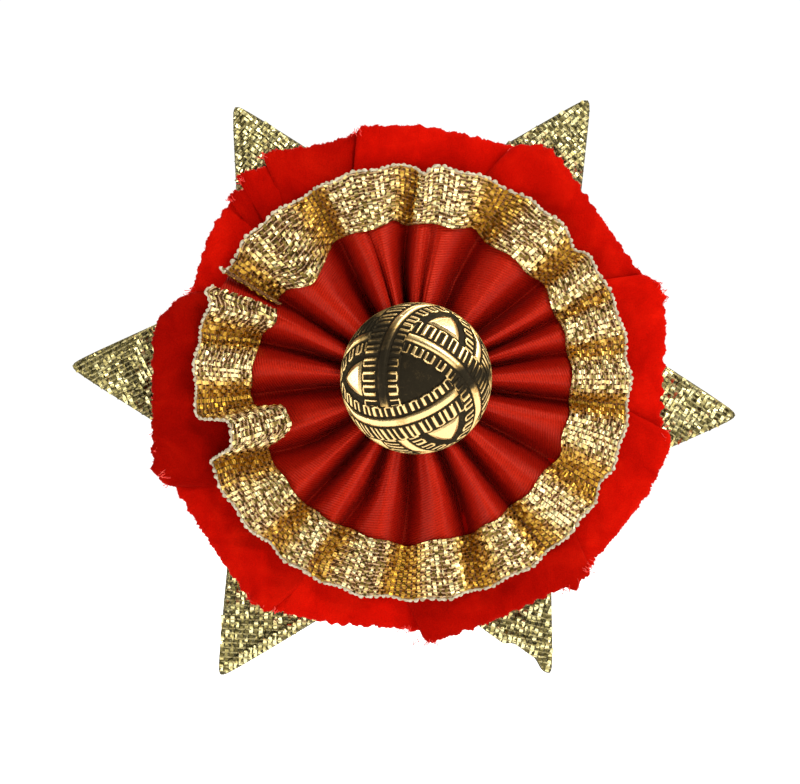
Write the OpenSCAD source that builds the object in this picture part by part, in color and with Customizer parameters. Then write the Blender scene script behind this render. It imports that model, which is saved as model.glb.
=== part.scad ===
// Round ribbon cockade brooch.
// A shank button sits on a gathered satin ribbon, inside a ruffled metallic ribbon, on a ring of
// velvet pleats and six folded star points. A sewn-on bar pin with a rollover safety catch holds it.
//
// Frame: millimetres, upright as it is worn. +X is to the right as seen from the front, +Z is up and
// the face looks along -Y. The origin is on the pin stem's axis, at the middle of its working length.

/* [Button] */
// Diameter of the button
button_d = 23; // [20:0.5:26]
// Height of the button's dome above its rim
dome_h = 4.6; // [3:0.1:6]
// Thickness of the button's stamped shell
shell_t = 0.5; // [0.4:0.05:0.8]
// Diameter of the wire of the button's shank
shank_wire_d = 1; // [0.8:0.1:1.2]
// Inside radius of the shank's loop
shank_eye_r = 1.5; // [1.3:0.1:1.8]
// Diameter of the sewing thread through the shank
thread_d = 0.7; // [0.5:0.05:0.8]
// How far the sewn-on button sits to the right of the rosette's middle
button_right = 0.6; // [0:0.1:1]
// How far the sewn-on button sits above the rosette's middle
button_up = 0.7; // [0:0.1:1]

/* [Ribbon rosette] */
// Radius that the satin ribbon reaches
satin_r = 24.6; // [23:0.1:25]
// Radius of the hole in the middle of the gathered ribbons
heart_r = 4.2; // [4:0.1:4.6]
// Radius of the metallic ribbon's picot edge
gold_r = 33.6; // [31:0.1:36]

/* [Velvet pleats] */
// Middle outer radius of the velvet pleats
velvet_r = 40.4; // [38:0.1:42]
// How far the radius of the pleats goes up and down
velvet_vary = 1; // [0:0.1:1.5]
// Inner radius of the velvet pleats, under the metallic ribbon
velvet_in_r = 15; // [12:0.5:20]
// Radius of the curve of each pleat's outer edge
velvet_crown_r = 32; // [26:0.5:38]

/* [Star] */
// Number of star points
star_count = 6; // [5:1:8]
// Middle radius of the star's tips
star_r = 50.2; // [46:0.1:54]
// How far the tips' radius goes up and down
star_vary = 0.9; // [0:0.1:2]
// Angle of each folded tip in degrees
star_tip_deg = 58; // [50:1:64]
// Inner radius of the star points, under the velvet
star_in_r = 12; // [10:0.5:16]
// Angle of the first tip in degrees
star_first_deg = 57.5; // [50:0.5:70]
// How far the hand-set star sits to the left of the rosette's middle
star_left = 1.8; // [0:0.1:2]
// How far the hand-set star sits below the rosette's middle
star_down = 0.8; // [0:0.1:2]

/* [Backing] */
// Diameter of the stiffened foundation disc
foundation_d = 60; // [56:1:64]
// Diameter of the felt cover
felt_d = 56; // [50:1:60]
// Drop from the pin stem down to the middle of the rosette
pin_above = 9; // [6:0.5:14]

/* [Bar pin] */
// Length of the bar
bar_l = 32; // [30:0.5:36]
// Width of the bar
bar_w = 6; // [5:0.25:7]
// Thickness of the bar
bar_t = 0.6; // [0.5:0.05:0.8]
// Diameter of the pin stem
stem_d = 0.9; // [0.8:0.05:1]
// Working length of the pin stem, which holds the cloth
stem_work_l = 20; // [18:0.5:22]
// Diameter of the hinge rivet
rivet_d = 1; // [0.9:0.05:1.2]
// Width of the catch along the stem
catch_w = 2.6; // [2:0.1:3]
// Angle of the catch's open side in degrees
catch_open_deg = 150; // [140:5:160]

/* [Hidden] */

$fn = 96;
eps = 0.01;
soft_gap = 0.3;         // between soft pieces that lie side by side
face_gap = 0.05;        // between layers that lie on each other
run_gap = 0.05;         // radial clearance of what turns

// Layers along Y, from the stem's axis at 0 towards the front.
bar_back_y = -2.8;
felt_t = 1.2;
foundation_t = 1;
star_t = 1.5;
velvet_t = 3.9;
gold_t = 5;
satin_t = 6.05;
under_t = 1;            // the satin ribbon's outer part, under the metallic ribbon
bar_front_y = bar_back_y - bar_t;
felt_front_y = bar_front_y - felt_t;
foundation_front_y = felt_front_y - foundation_t;
star_front_y = foundation_front_y - star_t;
velvet_front_y = star_front_y - velvet_t;
satin_front_y = velvet_front_y - satin_t;
button_back_y = satin_front_y - 0.6;

// The rosette's middle: the bar is centred over it, and the stem's working length is off centre.
hinge_to_work = 1.6;    // from the hinge to where the working length starts
hinge_x = -stem_work_l / 2 - hinge_to_work;
bar_cx = hinge_x + bar_l / 2 - 3;
heart_x = bar_cx;
heart_z = -pin_above;
button_x = heart_x + button_right;
button_z = heart_z + button_up;

// Bar pin details.
ear_t = 0.5;            // thickness of a hinge ear
ear_in = 1.15;          // from the middle plane to an ear's inner face
ear_r = 1.3;
eye_r = 1.2;            // outer radius of the stem's eye
eye_half = 1.1;
neck_r = 0.72;          // the stem's thicker root, between the eye and the working length
rivet_head_r = 0.95;
rivet_head_t = 0.35;
taper_l = 1.2;          // from the working diameter to the thin end
thin_d = 0.72;
thin_l = 4.4;
point_l = 1.7;
catch_x = stem_work_l / 2 + taper_l + 0.9 + catch_w / 2;
catch_r = 2;
catch_in_r = 1.5;
rotor_r = catch_in_r - run_gap;
rotor_bore_r = 0.75;
rotor_slot = 1.1;
flange_r = 1.9;
flange_t = 0.35;
flange_gap = 0.1;
lever_reach = 3.4;
lever_t = 0.8;
lever_w = 1.8;
lever_deg = 50;         // from the way out, towards +Z, at rest
sew_xs = [-10, -7, 5, 8];   // sewing holes along the bar, from its middle
sew_hole_r = 0.75;
sew_thread_r = 0.3;
sew_pass_r = 0.36;

// Button details.
rim_r = button_d / 2;
rim_h = 1.3;
curl_t = 0.9;           // width of the rolled edge behind the back plate
plate_t = 0.5;
shell_curve_r = (pow(rim_r, 2) + pow(dome_h, 2)) / (2 * dome_h);
shank_r = shank_eye_r + shank_wire_d / 2;
thread_r = thread_d / 2;
stitch_depth = 2.2;     // of the gathering stitch, in front of the velvet
thread_half = 0.95;     // from the middle to each strand
knot_r = 1.7;
knot_t = 0.8;
thread_hole_r = 1.6;
thread_top_y = button_back_y + shank_eye_r - thread_r - 0.05;

// Angles of the hand-laid seams between velvet pleats, clockwise from the top left one.
seam_degs = [102, 68, 26, -10, -45, -88, -123, -157, -203, -229];
velvet_count = len(seam_degs);

// Outer radius of velvet pleat i and tip radius of star point i.
function petal_r(i) = velvet_r + velvet_vary * sin(137 * i + 40);
function tip_r(i) = star_r + star_vary * sin(190 * i + 60);
function polar(r, a) = [r * cos(a), r * sin(a)];

// Draws along -Y from y_back, in the rosette's own plane: 2D x is +X and 2D y is +Z.
module to_front(y_back, x = heart_x, z = heart_z) {
    translate([x, y_back, z]) rotate([90, 0, 0]) children();
}

// The same, round the button's own middle.
module to_button(y_back) {
    to_front(y_back, button_x, button_z) children();
}

// A ring cross-section, given as [radius, height towards the front], turned round the rosette's axis.
module turned(y_back, points) {
    to_front(y_back) rotate_extrude() polygon(points);
}

// The domed shell of the button, with its edge rolled over the back plate.
module button_face() {
    color("darkgoldenrod") to_button(button_back_y)
        difference() {
            union() {
                translate([0, 0, rim_h])
                    intersection() {
                        translate([0, 0, dome_h - shell_curve_r]) sphere(r = shell_curve_r, $fn = 128);
                        cylinder(r = rim_r, h = dome_h + 1);
                    }
                cylinder(r = rim_r, h = rim_h + eps);
            }
            translate([0, 0, rim_h])
                intersection() {
                    translate([0, 0, dome_h - shell_curve_r])
                        sphere(r = shell_curve_r - shell_t, $fn = 128);
                    cylinder(r = rim_r - shell_t, h = dome_h + 1);
                }
            translate([0, 0, 0.35]) cylinder(r = rim_r - shell_t, h = rim_h - 0.35 + eps);
            translate([0, 0, -1]) cylinder(r = rim_r - curl_t - shell_t, h = 3);
        }
}

// The disc inside the rolled edge.
module button_back_plate() {
    color("goldenrod") to_button(button_back_y)
        translate([0, 0, 0.35 + face_gap / 2]) cylinder(r = rim_r - shell_t - face_gap, h = plate_t);
}

// The wire loop on the back of the button.
module button_shank() {
    color("goldenrod") to_button(button_back_y + eps)
        rotate([90, 0, 0])
            rotate([0, 0, 180]) {
                rotate_extrude(angle = 180) translate([shank_r, 0]) circle(r = shank_wire_d / 2, $fn = 32);
                for (side = [-1, 1])
                    translate([side * shank_r, 0, 0])
                        rotate([90, 0, 0])
                            cylinder(r = shank_wire_d / 2, h = 0.35 + 2 * eps, $fn = 32);
            }
}

// A doubled thread through the shank, tied in a knot behind the foundation disc.
module button_thread() {
    arch_y = thread_top_y;
    knot_y = felt_front_y + knot_t + 0.1;
    color("firebrick") {
        translate([button_x, arch_y + thread_half, button_z])
            rotate([0, -90, 0]) rotate([0, 0, -180])
                rotate_extrude(angle = 180, $fn = 48) translate([thread_half, 0]) circle(r = thread_r, $fn = 24);
        for (side = [-1, 1])
            translate([button_x, arch_y + thread_half, button_z + side * thread_half])
                rotate([-90, 0, 0])
                    cylinder(r = thread_r, h = knot_y - knot_t / 2 - arch_y - thread_half, $fn = 24);
        to_button(knot_y) cylinder(r = knot_r, h = knot_t);
    }
}

// The gathered satin ribbon: a crowned ring, which runs on flat under the metallic ribbon.
module satin_ribbon() {
    color("red")
        turned(velvet_front_y, [
            [heart_r, 0], [gold_r - 1, 0], [gold_r - 1, under_t], [satin_r, under_t],
            [satin_r, satin_t - 2.6], [satin_r - 1.6, satin_t - 0.9], [satin_r - 5, satin_t],
            [button_d / 2, satin_t - 0.2], [heart_r, satin_t - 1.4]
        ]);
}

// The ruffled metallic ribbon: a raised band laid on the satin's outer part.
module gold_ribbon() {
    band_in = satin_r + soft_gap;
    band_back = under_t + face_gap;
    color("gold")
        turned(velvet_front_y, [
            [band_in, band_back], [gold_r - 0.4, band_back], [gold_r, band_back + 0.5],
            [gold_r - 0.4, band_back + 1.4], [gold_r - 3, gold_t - 0.7], [band_in + 2.4, gold_t],
            [band_in, gold_t - 1]
        ]);
}

// The drawn-up running stitch at the gathered edge.
module gathering_thread() {
    color("darkred") to_front(velvet_front_y - stitch_depth)
        rotate_extrude() translate([heart_r - 0.4, 0]) circle(r = 0.3, $fn = 24);
}

// One velvet pleat: a sector with parallel gaps to its neighbours and a crowned outer edge.
module velvet_petal(i) {
    seam_from = seam_degs[i - 1];
    seam_to = i < velvet_count ? seam_degs[i] : seam_degs[0] - 360;
    step = seam_from - seam_to;
    mid = (seam_from + seam_to) / 2;
    shift = soft_gap / 2 / sin(step / 2);
    reach = 60;
    r_out = petal_r(i);
    color([0.78, 0.05, 0.04]) to_front(star_front_y)
        linear_extrude(velvet_t - face_gap)
            intersection() {
                rotate([0, 0, mid])
                    polygon([
                        [shift, 0],
                        [shift + reach * cos(step / 2), reach * sin(step / 2)],
                        [shift + reach * cos(step / 2), -reach * sin(step / 2)]
                    ]);
                rotate([0, 0, mid]) translate([r_out - velvet_crown_r, 0]) circle(r = velvet_crown_r);
                difference() {
                    circle(r = reach);
                    circle(r = velvet_in_r);
                }
            }
}

// One star point: a ribbon folded to a tip, cut to its half of the gap on each side.
module star_point(i) {
    step = 360 / star_count;
    mid = star_first_deg - (i - 1) * step;
    tip = tip_r(i);
    half_tip = star_tip_deg / 2;
    shoulder_r = tip * tan(half_tip) / (tan(half_tip) + tan(step / 2));
    shoulder_w = (tip - shoulder_r) * tan(half_tip) - soft_gap / 2 / cos(step / 2);
    inner_w = star_in_r * tan(step / 2) - soft_gap / 2 / cos(step / 2);
    color([0.72, 0.68, 0.36]) to_front(foundation_front_y)
        linear_extrude(star_t - face_gap)
            translate([-star_left, -star_down]) rotate([0, 0, mid])
                polygon([
                    [star_in_r, -inner_w], [shoulder_r, -shoulder_w], [tip, 0],
                    [shoulder_r, shoulder_w], [star_in_r, inner_w]
                ]);
}

// Holes for the sewing thread through a soft layer, given in the stem's own frame.
module sewing_passes(r, y_from, y_to) {
    for (x = sew_xs)
        translate([bar_cx + x, y_to, 0]) rotate([90, 0, 0]) cylinder(r = r, h = y_to - y_from, $fn = 32);
}

// The stiffened cloth disc that everything in front is sewn to.
module foundation_disc() {
    color("ivory")
        difference() {
            to_front(felt_front_y - face_gap) cylinder(d = foundation_d, h = foundation_t - face_gap);
            to_button(felt_front_y + 1) cylinder(r = thread_hole_r, h = foundation_t + 2);
            sewing_passes(sew_pass_r, foundation_front_y - 1, felt_front_y + 1);
        }
}

// The felt that covers the stitching, hollowed out over the button's knot.
module felt_backing() {
    color("maroon")
        difference() {
            to_front(bar_front_y - face_gap) cylinder(d = felt_d, h = felt_t - face_gap);
            to_button(felt_front_y + knot_t + 0.2) cylinder(r = knot_r + 0.25, h = knot_t + 1);
            sewing_passes(sew_pass_r, felt_front_y - 1, bar_front_y + 1);
        }
}

// The flat bar with two folded-up hinge ears.
module pin_bar() {
    color("silver")
        difference() {
            union() {
                translate([bar_cx, bar_back_y, 0]) rotate([90, 0, 0]) {
                    for (side = [-1, 1])
                        translate([side * (bar_l - bar_w) / 2, 0, 0]) cylinder(d = bar_w, h = bar_t);
                    translate([0, 0, bar_t / 2]) cube([bar_l - bar_w, bar_w, bar_t], center = true);
                }
                for (side = [-1, 1])
                    translate([hinge_x, 0, side * (ear_in + ear_t / 2)]) {
                        cylinder(r = ear_r, h = ear_t, center = true);
                        translate([0, bar_back_y / 2, 0])
                            cube([2 * ear_r, -bar_back_y + 2 * eps, ear_t], center = true);
                    }
            }
            translate([hinge_x, 0, 0]) cylinder(d = rivet_d, h = 10, center = true);
            sewing_passes(sew_hole_r, bar_front_y - 1, bar_back_y + 1);
        }
}

// The rivet through both ears and the stem's eye, with a head at each end.
module hinge_rivet() {
    half = ear_in + ear_t;
    color("gainsboro")
        translate([hinge_x, 0, 0]) {
            cylinder(d = rivet_d, h = 2 * half, center = true);
            for (side = [-1, 1])
                translate([0, 0, side * (half + rivet_head_t / 2)])
                    cylinder(r = rivet_head_r, h = rivet_head_t, center = true);
        }
}

// The stem: an eye on the rivet, the working length, a taper, the thin end and the point.
module pin_stem() {
    work_x = -stem_work_l / 2;
    color("silver")
        difference() {
            union() {
                translate([hinge_x, 0, 0]) cylinder(r = eye_r, h = 2 * eye_half, center = true);
                translate([hinge_x + eye_r * 0.7, 0, 0]) rotate([0, 90, 0])
                    cylinder(r = neck_r, h = work_x - hinge_x - eye_r * 0.7, $fn = 48);
                translate([work_x, 0, 0]) rotate([0, 90, 0]) cylinder(d = stem_d, h = stem_work_l, $fn = 48);
                translate([-work_x, 0, 0]) rotate([0, 90, 0])
                    cylinder(d1 = stem_d, d2 = thin_d, h = taper_l, $fn = 48);
                translate([taper_l - work_x, 0, 0]) rotate([0, 90, 0])
                    cylinder(d = thin_d, h = thin_l, $fn = 48);
                translate([taper_l + thin_l - work_x, 0, 0]) rotate([0, 90, 0])
                    cylinder(d1 = thin_d, d2 = 0.08, h = point_l, $fn = 48);
            }
            translate([hinge_x, 0, 0]) cylinder(r = rivet_d / 2 + run_gap, h = 4, center = true);
        }
}

// Turns a shape drawn along +Z, with its open way along +X, to lie along the stem and open to +Y.
module along_stem(x) {
    translate([x, 0, 0]) rotate([0, 90, 0]) rotate([0, 0, 90]) children();
}

// A wedge from the axis outwards, for the catch's open side.
module open_wedge(half_deg, h) {
    reach = 4;
    translate([0, 0, -h / 2])
        linear_extrude(h)
            polygon([[0, 0], polar(reach, -half_deg), [reach, -reach], [reach, reach], polar(reach, half_deg)]);
}

// The C-shaped catch on its foot.
module catch_housing() {
    foot_h = -bar_back_y - catch_in_r;
    color("silver") along_stem(catch_x)
        difference() {
            union() {
                cylinder(r = catch_r, h = catch_w, center = true);
                translate([-catch_in_r - foot_h / 2, 0, 0]) cube([foot_h, 2.2, catch_w], center = true);
            }
            cylinder(r = catch_in_r, h = catch_w + 1, center = true);
            open_wedge(catch_open_deg / 2, catch_w + 1);
        }
}

// The rollover lock: a slotted barrel with an end flange on each side and a thumb lever.
module safety_lock() {
    barrel_l = catch_w + 2 * flange_gap;
    color("gainsboro") along_stem(catch_x)
        difference() {
            union() {
                cylinder(r = rotor_r, h = barrel_l + eps, center = true);
                for (side = [-1, 1])
                    translate([0, 0, side * (barrel_l + flange_t) / 2])
                        cylinder(r = flange_r, h = flange_t, center = true);
                rotate([0, 0, lever_deg])
                    translate([(rotor_bore_r + lever_reach) / 2 + 0.1, 0, 0])
                        cube([lever_reach - rotor_bore_r - 0.2, lever_t, lever_w], center = true);
            }
            cylinder(r = rotor_bore_r, h = barrel_l + 2, center = true);
            translate([2, 0, 0]) cube([4, rotor_slot, barrel_l + 2], center = true);
        }
}

// Two staples of sewing thread, each down one hole, along the bar and down the next.
module bar_stitches() {
    top_y = bar_back_y + sew_thread_r + 0.02;
    deep_y = foundation_front_y + 0.15;
    color("firebrick")
        for (pair = [[sew_xs[0], sew_xs[1]], [sew_xs[2], sew_xs[3]]]) {
            for (x = pair) {
                translate([bar_cx + x, top_y, 0]) sphere(r = sew_thread_r, $fn = 24);
                translate([bar_cx + x, top_y, 0]) rotate([90, 0, 0])
                    cylinder(r = sew_thread_r, h = top_y - deep_y, $fn = 24);
            }
            translate([bar_cx + pair[0], top_y, 0]) rotate([0, 90, 0])
                cylinder(r = sew_thread_r, h = pair[1] - pair[0], $fn = 24);
        }
}

button_face();
button_back_plate();
button_shank();
button_thread();
satin_ribbon();
gold_ribbon();
gathering_thread();
velvet_petal(1);  // velvet_petal_1
velvet_petal(2);  // velvet_petal_2
velvet_petal(3);  // velvet_petal_3
velvet_petal(4);  // velvet_petal_4
velvet_petal(5);  // velvet_petal_5
velvet_petal(6);  // velvet_petal_6
velvet_petal(7);  // velvet_petal_7
velvet_petal(8);  // velvet_petal_8
velvet_petal(9);  // velvet_petal_9
velvet_petal(10);  // velvet_petal_10
star_point(1);  // star_point_1
star_point(2);  // star_point_2
star_point(3);  // star_point_3
star_point(4);  // star_point_4
star_point(5);  // star_point_5
star_point(6);  // star_point_6
foundation_disc();
felt_backing();
pin_bar();
hinge_rivet();
pin_stem();
catch_housing();
safety_lock();
bar_stitches();
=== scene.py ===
import math

import bpy
import numpy as np
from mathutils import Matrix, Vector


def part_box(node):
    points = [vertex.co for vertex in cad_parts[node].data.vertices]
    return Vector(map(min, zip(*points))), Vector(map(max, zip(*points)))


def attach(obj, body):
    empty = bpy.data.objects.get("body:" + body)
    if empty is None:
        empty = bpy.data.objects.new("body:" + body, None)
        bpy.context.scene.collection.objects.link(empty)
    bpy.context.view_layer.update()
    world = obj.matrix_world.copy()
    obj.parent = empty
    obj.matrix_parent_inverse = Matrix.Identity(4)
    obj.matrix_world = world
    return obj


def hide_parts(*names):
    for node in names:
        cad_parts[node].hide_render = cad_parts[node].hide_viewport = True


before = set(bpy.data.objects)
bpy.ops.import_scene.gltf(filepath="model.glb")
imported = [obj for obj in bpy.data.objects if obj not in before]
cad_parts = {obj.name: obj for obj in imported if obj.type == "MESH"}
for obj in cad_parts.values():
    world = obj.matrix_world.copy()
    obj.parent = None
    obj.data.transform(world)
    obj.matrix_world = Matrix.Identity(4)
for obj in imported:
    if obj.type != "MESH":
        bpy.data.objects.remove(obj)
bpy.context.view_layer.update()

# Round ribbon cockade brooch, built round the CAD frame. Shapes are worked out in millimetres in the
# frame's own axes (+X right, +Z up, the face towards -Y) and stored in metres.
# "Height" is the distance in front of the velvet's front face, and angles are anticlockwise from +X.

MM = 0.001
FULL = 360.0
TAU = 2 * math.pi
PLIES = 3                  # in every sewing thread


def node_box(name):
    """Lowest and highest corner of a CAD node in millimetres."""
    low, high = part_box(name)
    return np.array(low) / MM, np.array(high) / MM


def node_middle(name):
    """A CAD node's middle as seen from the front."""
    low, high = node_box(name)
    return ((low + high) / 2)[[0, 2]]


def node_depth(name):
    """Where a CAD node starts and ends along y, front first."""
    low, high = node_box(name)
    return low[1], high[1]


def node_radius(name):
    low, high = node_box(name)
    return (high[0] - low[0]) / 2


HEART = node_middle("satin_ribbon")          # the rosette's middle, as x and z
BUTTON_MID = node_middle("button_face")
BUTTON_R = node_radius("button_face")
DOME_TOP, BUTTON_BACK = node_depth("button_face")
VELVET_FRONT, VELVET_BACK = node_depth("velvet_petal_1")
STAR_FRONT, STAR_BACK = node_depth("star_point_1")


# ---------------------------------------------------------------- shape helpers

def unit(v):
    return v / np.maximum(np.linalg.norm(v, axis=-1, keepdims=True), 1e-9)


def smoothstep(x, low, high):
    t = np.clip((x - low) / (high - low), 0.0, 1.0)
    return t * t * (3.0 - 2.0 * t)


def angle_off(deg, at):
    """How far an angle is from another, from -180 to 180 degrees."""
    return (deg - at + 180.0) % FULL - 180.0


def place(r, deg, y, mid=HEART):
    """Points at a radius and an angle round the rosette's middle, or round another one."""
    a = np.radians(deg)
    x = mid[0] + r * np.cos(a)
    z = mid[1] + r * np.sin(a)
    return np.stack(np.broadcast_arrays(x, y, z), axis=-1)


def upright(xz, y):
    """Points from their places as seen from the front and their y."""
    return np.stack(np.broadcast_arrays(xz[..., 0], y, xz[..., 1]), axis=-1)


def directions(deg):
    """The unit vector at an angle, and the one at right angles to its left."""
    a = math.radians(deg)
    return np.array([math.cos(a), math.sin(a)]), np.array([-math.sin(a), math.cos(a)])


def smoothed(line, times):
    """A row of numbers or points with its corners eased, and its ends left in place."""
    for _ in range(times):
        line[1:-1] = 0.25 * line[:-2] + 0.5 * line[1:-1] + 0.25 * line[2:]
    return line


def resampled(path, count):
    """The same path with another number of points."""
    at = np.linspace(0, len(path) - 1, count)
    return np.stack([np.interp(at, np.arange(len(path)), values) for values in path.T], -1)


def ripple(points, wavelength, seed, count=16):
    """Smooth random noise of about unit size over any number of coordinates."""
    rng = np.random.default_rng(seed)
    points = np.asarray(points, float)
    total = np.zeros(points.shape[:-1])
    for _ in range(count):
        k = unit(rng.normal(size=points.shape[-1])) * TAU / wavelength * rng.uniform(0.65, 1.4)
        total += np.cos(points @ k + rng.uniform(0, TAU))
    return total * math.sqrt(2.0 / count)


def grid_faces(rows, cols, close_cols=False, flip=False):
    """Quads of a grid of rows by cols vertices, stored row after row."""
    last = cols if close_cols else cols - 1
    i, j = np.meshgrid(np.arange(rows - 1), np.arange(last), indexing="ij")
    after = (j + 1) % cols
    quads = np.stack([i * cols + j, i * cols + after, (i + 1) * cols + after, (i + 1) * cols + j], -1)
    quads = quads.reshape(-1, 4)
    return quads[:, ::-1] if flip else quads


def repeated(faces, count, size):
    """The same faces for each of count runs of size vertices."""
    starts = np.arange(count) * size
    return (faces[None] + starts[:, None, None]).reshape(-1, faces.shape[1])


def fan(ring, middle):
    """Triangles from a closed ring of vertices to the one in its middle."""
    return np.stack([ring, np.roll(ring, -1), np.full(len(ring), middle)], -1)


def mesh_piece(name, verts, faces, mat, slot, body="rosette", uv=None, layers=None, smooth=True):
    """An object from numpy vertices in mm and faces, an array of quads or a list of such arrays."""
    faces = [f for f in (faces if isinstance(faces, list) else [faces]) if len(f)]
    verts = np.asarray(verts, float).reshape(-1, 3)
    me = bpy.data.meshes.new(name)
    me.vertices.add(len(verts))
    me.vertices.foreach_set("co", (verts * MM).ravel())
    corners = np.concatenate([f.ravel() for f in faces]).astype(np.int32)
    sizes = np.concatenate([np.full(len(f), f.shape[1]) for f in faces])
    starts = np.concatenate([[0], np.cumsum(sizes)[:-1]]).astype(np.int32)
    me.loops.add(len(corners))
    me.loops.foreach_set("vertex_index", corners)
    me.polygons.add(len(sizes))
    me.polygons.foreach_set("loop_start", starts)
    me.update(calc_edges=True)
    if smooth:
        me.shade_smooth()
    if uv is not None:
        uv = np.asarray(uv, float).reshape(-1, 2)
        me.uv_layers.new(name="cloth").data.foreach_set("uv", uv[corners].ravel())
    for key, values in (layers or {}).items():
        me.attributes.new(key, "FLOAT", "POINT").data.foreach_set(
            "value", np.asarray(values, np.float32).ravel())
    me.materials.append(mat)
    ob = bpy.data.objects.new(name, me)
    bpy.context.scene.collection.objects.link(ob)
    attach(ob, body)
    return ob


def used_only(verts, faces, values):
    """Drops the vertices that no face uses, and their values."""
    keep = np.unique(faces)
    index = np.zeros(len(verts), int)
    index[keep] = np.arange(len(keep))
    return verts[keep], index[faces], values[keep]


def tubes(points, radius, sides=3, ref=(0.0, 1.0, 0.0), pitch=None):
    """Vertices and faces of tubes along points (tube, step, xyz). A pitch twists three plies."""
    points = np.asarray(points, float)
    count, steps = points.shape[:2]
    run = unit(np.gradient(points, axis=1))
    side = unit(np.cross(run, np.broadcast_to(np.asarray(ref, float), points.shape)))
    up = np.cross(side, run)
    length = np.zeros((count, steps))
    length[:, 1:] = np.cumsum(np.linalg.norm(np.diff(points, axis=1), axis=-1), axis=1)
    phi = np.arange(sides) * TAU / sides
    r = np.broadcast_to(radius, (count, steps))[..., None] * np.ones(sides)
    if pitch:
        r = r * (0.84 + 0.16 * np.cos(PLIES * (phi - TAU * length[..., None] / (pitch * PLIES))))
    ring = (points[:, :, None] + (r * np.cos(phi))[..., None] * side[:, :, None]
            + (r * np.sin(phi))[..., None] * up[:, :, None])
    cap = np.array([[0, j, j + 1] for j in range(1, sides - 1)])
    caps = np.concatenate([cap[:, ::-1], cap + (steps - 1) * sides])
    return ring.reshape(-1, 3), [repeated(grid_faces(steps, sides, close_cols=True), count, steps * sides),
                                 repeated(caps, count, steps * sides)]


def joined(parts):
    """One vertex array and one list of faces from several (vertices, [quads, triangles])."""
    verts, quads, tris, base = [], [], [], 0
    for v, (q, t) in parts:
        verts.append(v)
        quads.append(q + base)
        tris.append(t + base)
        base += len(v)
    return np.concatenate(verts), [np.concatenate(quads), np.concatenate(tris)]


def foil_strips(spine, side, normal, roll, half_width):
    """Flat strips along spine (strip, step, xyz), each rolled about its own length."""
    leaning = side * np.cos(roll)[..., None] + normal * np.sin(roll)[..., None]
    return np.stack([spine - leaning * half_width, spine + leaning * half_width], axis=2)


def thread_ridges(line, side, normal, half_width, crown):
    """Fine threads as low ridges, three vertices across."""
    return np.stack([line - side * half_width - normal * 0.06, line + normal * crown,
                     line + side * half_width - normal * 0.06], axis=2)


# ---------------------------------------------------------------- materials

class Nodes:
    """Short ways to add shader nodes to a tree. Each one gives the new node's output."""

    def __init__(self, tree):
        self.tree = tree

    def feed(self, socket, value):
        if isinstance(value, bpy.types.NodeSocket):
            self.tree.links.new(value, socket)
        else:
            socket.default_value = value

    def add(self, kind, inputs=(), out=0, **settings):
        """Any node, with its inputs by name or number linked or set."""
        n = self.tree.nodes.new("ShaderNode" + kind)
        for key, value in settings.items():
            setattr(n, key, value)
        for key, value in dict(inputs).items():
            self.feed(n.inputs[key], value)
        return n.outputs[out]

    def calc(self, operation, a, b=0.0, c=0.5):
        return self.add("Math", {0: a, 1: b, 2: c}, operation=operation)

    def plus(self, a, b, share):
        """a plus a share of b."""
        return self.calc("ADD", a, self.calc("MULTIPLY", b, share))


class Finish(Nodes):
    """A material, with short ways to feed its Principled shader."""

    def __init__(self, name, **sockets):
        self.material = bpy.data.materials.new(name)
        self.material.use_nodes = True
        super().__init__(self.material.node_tree)
        self.shader = self.tree.nodes["Principled BSDF"]
        for key, value in sockets.items():
            self.shader.inputs[key.replace("_", " ")].default_value = value

    def point(self):
        return self.add("TexCoord", out="Object")

    def noise(self, scale, detail=3.0, rough=0.55, vector=None, distortion=0.0):
        return self.add("TexNoise", {"Vector": vector or self.point(), "Scale": scale, "Detail": detail,
                                     "Roughness": rough, "Distortion": distortion}, out="Fac")

    def layer(self, name):
        """A value that the mesh carries at each vertex."""
        return self.add("Attribute", out="Fac", attribute_name=name)

    def ribs(self, axis, period, slant=0.0):
        """0 to 1 ribs across the cloth map's axis, which is in millimetres."""
        cloth = self.add("SeparateXYZ", {0: self.add("UVMap", uv_map="cloth")}, out=axis)
        other = cloth.node.outputs[1 - axis]
        angle = self.calc("MULTIPLY", self.plus(cloth, other, slant), TAU / period)
        return self.calc("MULTIPLY_ADD", self.calc("SINE", angle), 0.5, 0.5)

    def ramp(self, fac, *stops):
        n = self.add("ValToRGB", {"Fac": fac}, out="Color").node
        elements = n.color_ramp.elements
        while len(elements) < len(stops):
            elements.new(0.5)
        for element, (at, colour) in zip(elements, stops):
            element.position = at
            element.color = (*colour, 1.0)
        return n.outputs["Color"]

    def times(self, a, b):
        """One colour multiplied by another."""
        return self.add("Mix", {0: 1.0, 6: a, 7: b}, out=2, data_type="RGBA", blend_type="MULTIPLY")

    def colour(self, colour, fold=()):
        """Base colour, with a ramp of painted shade from the folds' ridges down to their valleys if given.
        """
        if fold:
            colour = self.times(colour, self.ramp(self.layer("slope"), *fold))
        self.feed(self.shader.inputs["Base Color"], colour)

    def rough(self, fac, share, base):
        self.feed(self.shader.inputs["Roughness"], self.calc("MULTIPLY_ADD", fac, share, base))

    def bump(self, height, strength, distance):
        out = self.add("Bump", {"Height": height, "Strength": strength, "Distance": distance})
        self.feed(self.shader.inputs["Normal"], out)


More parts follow.
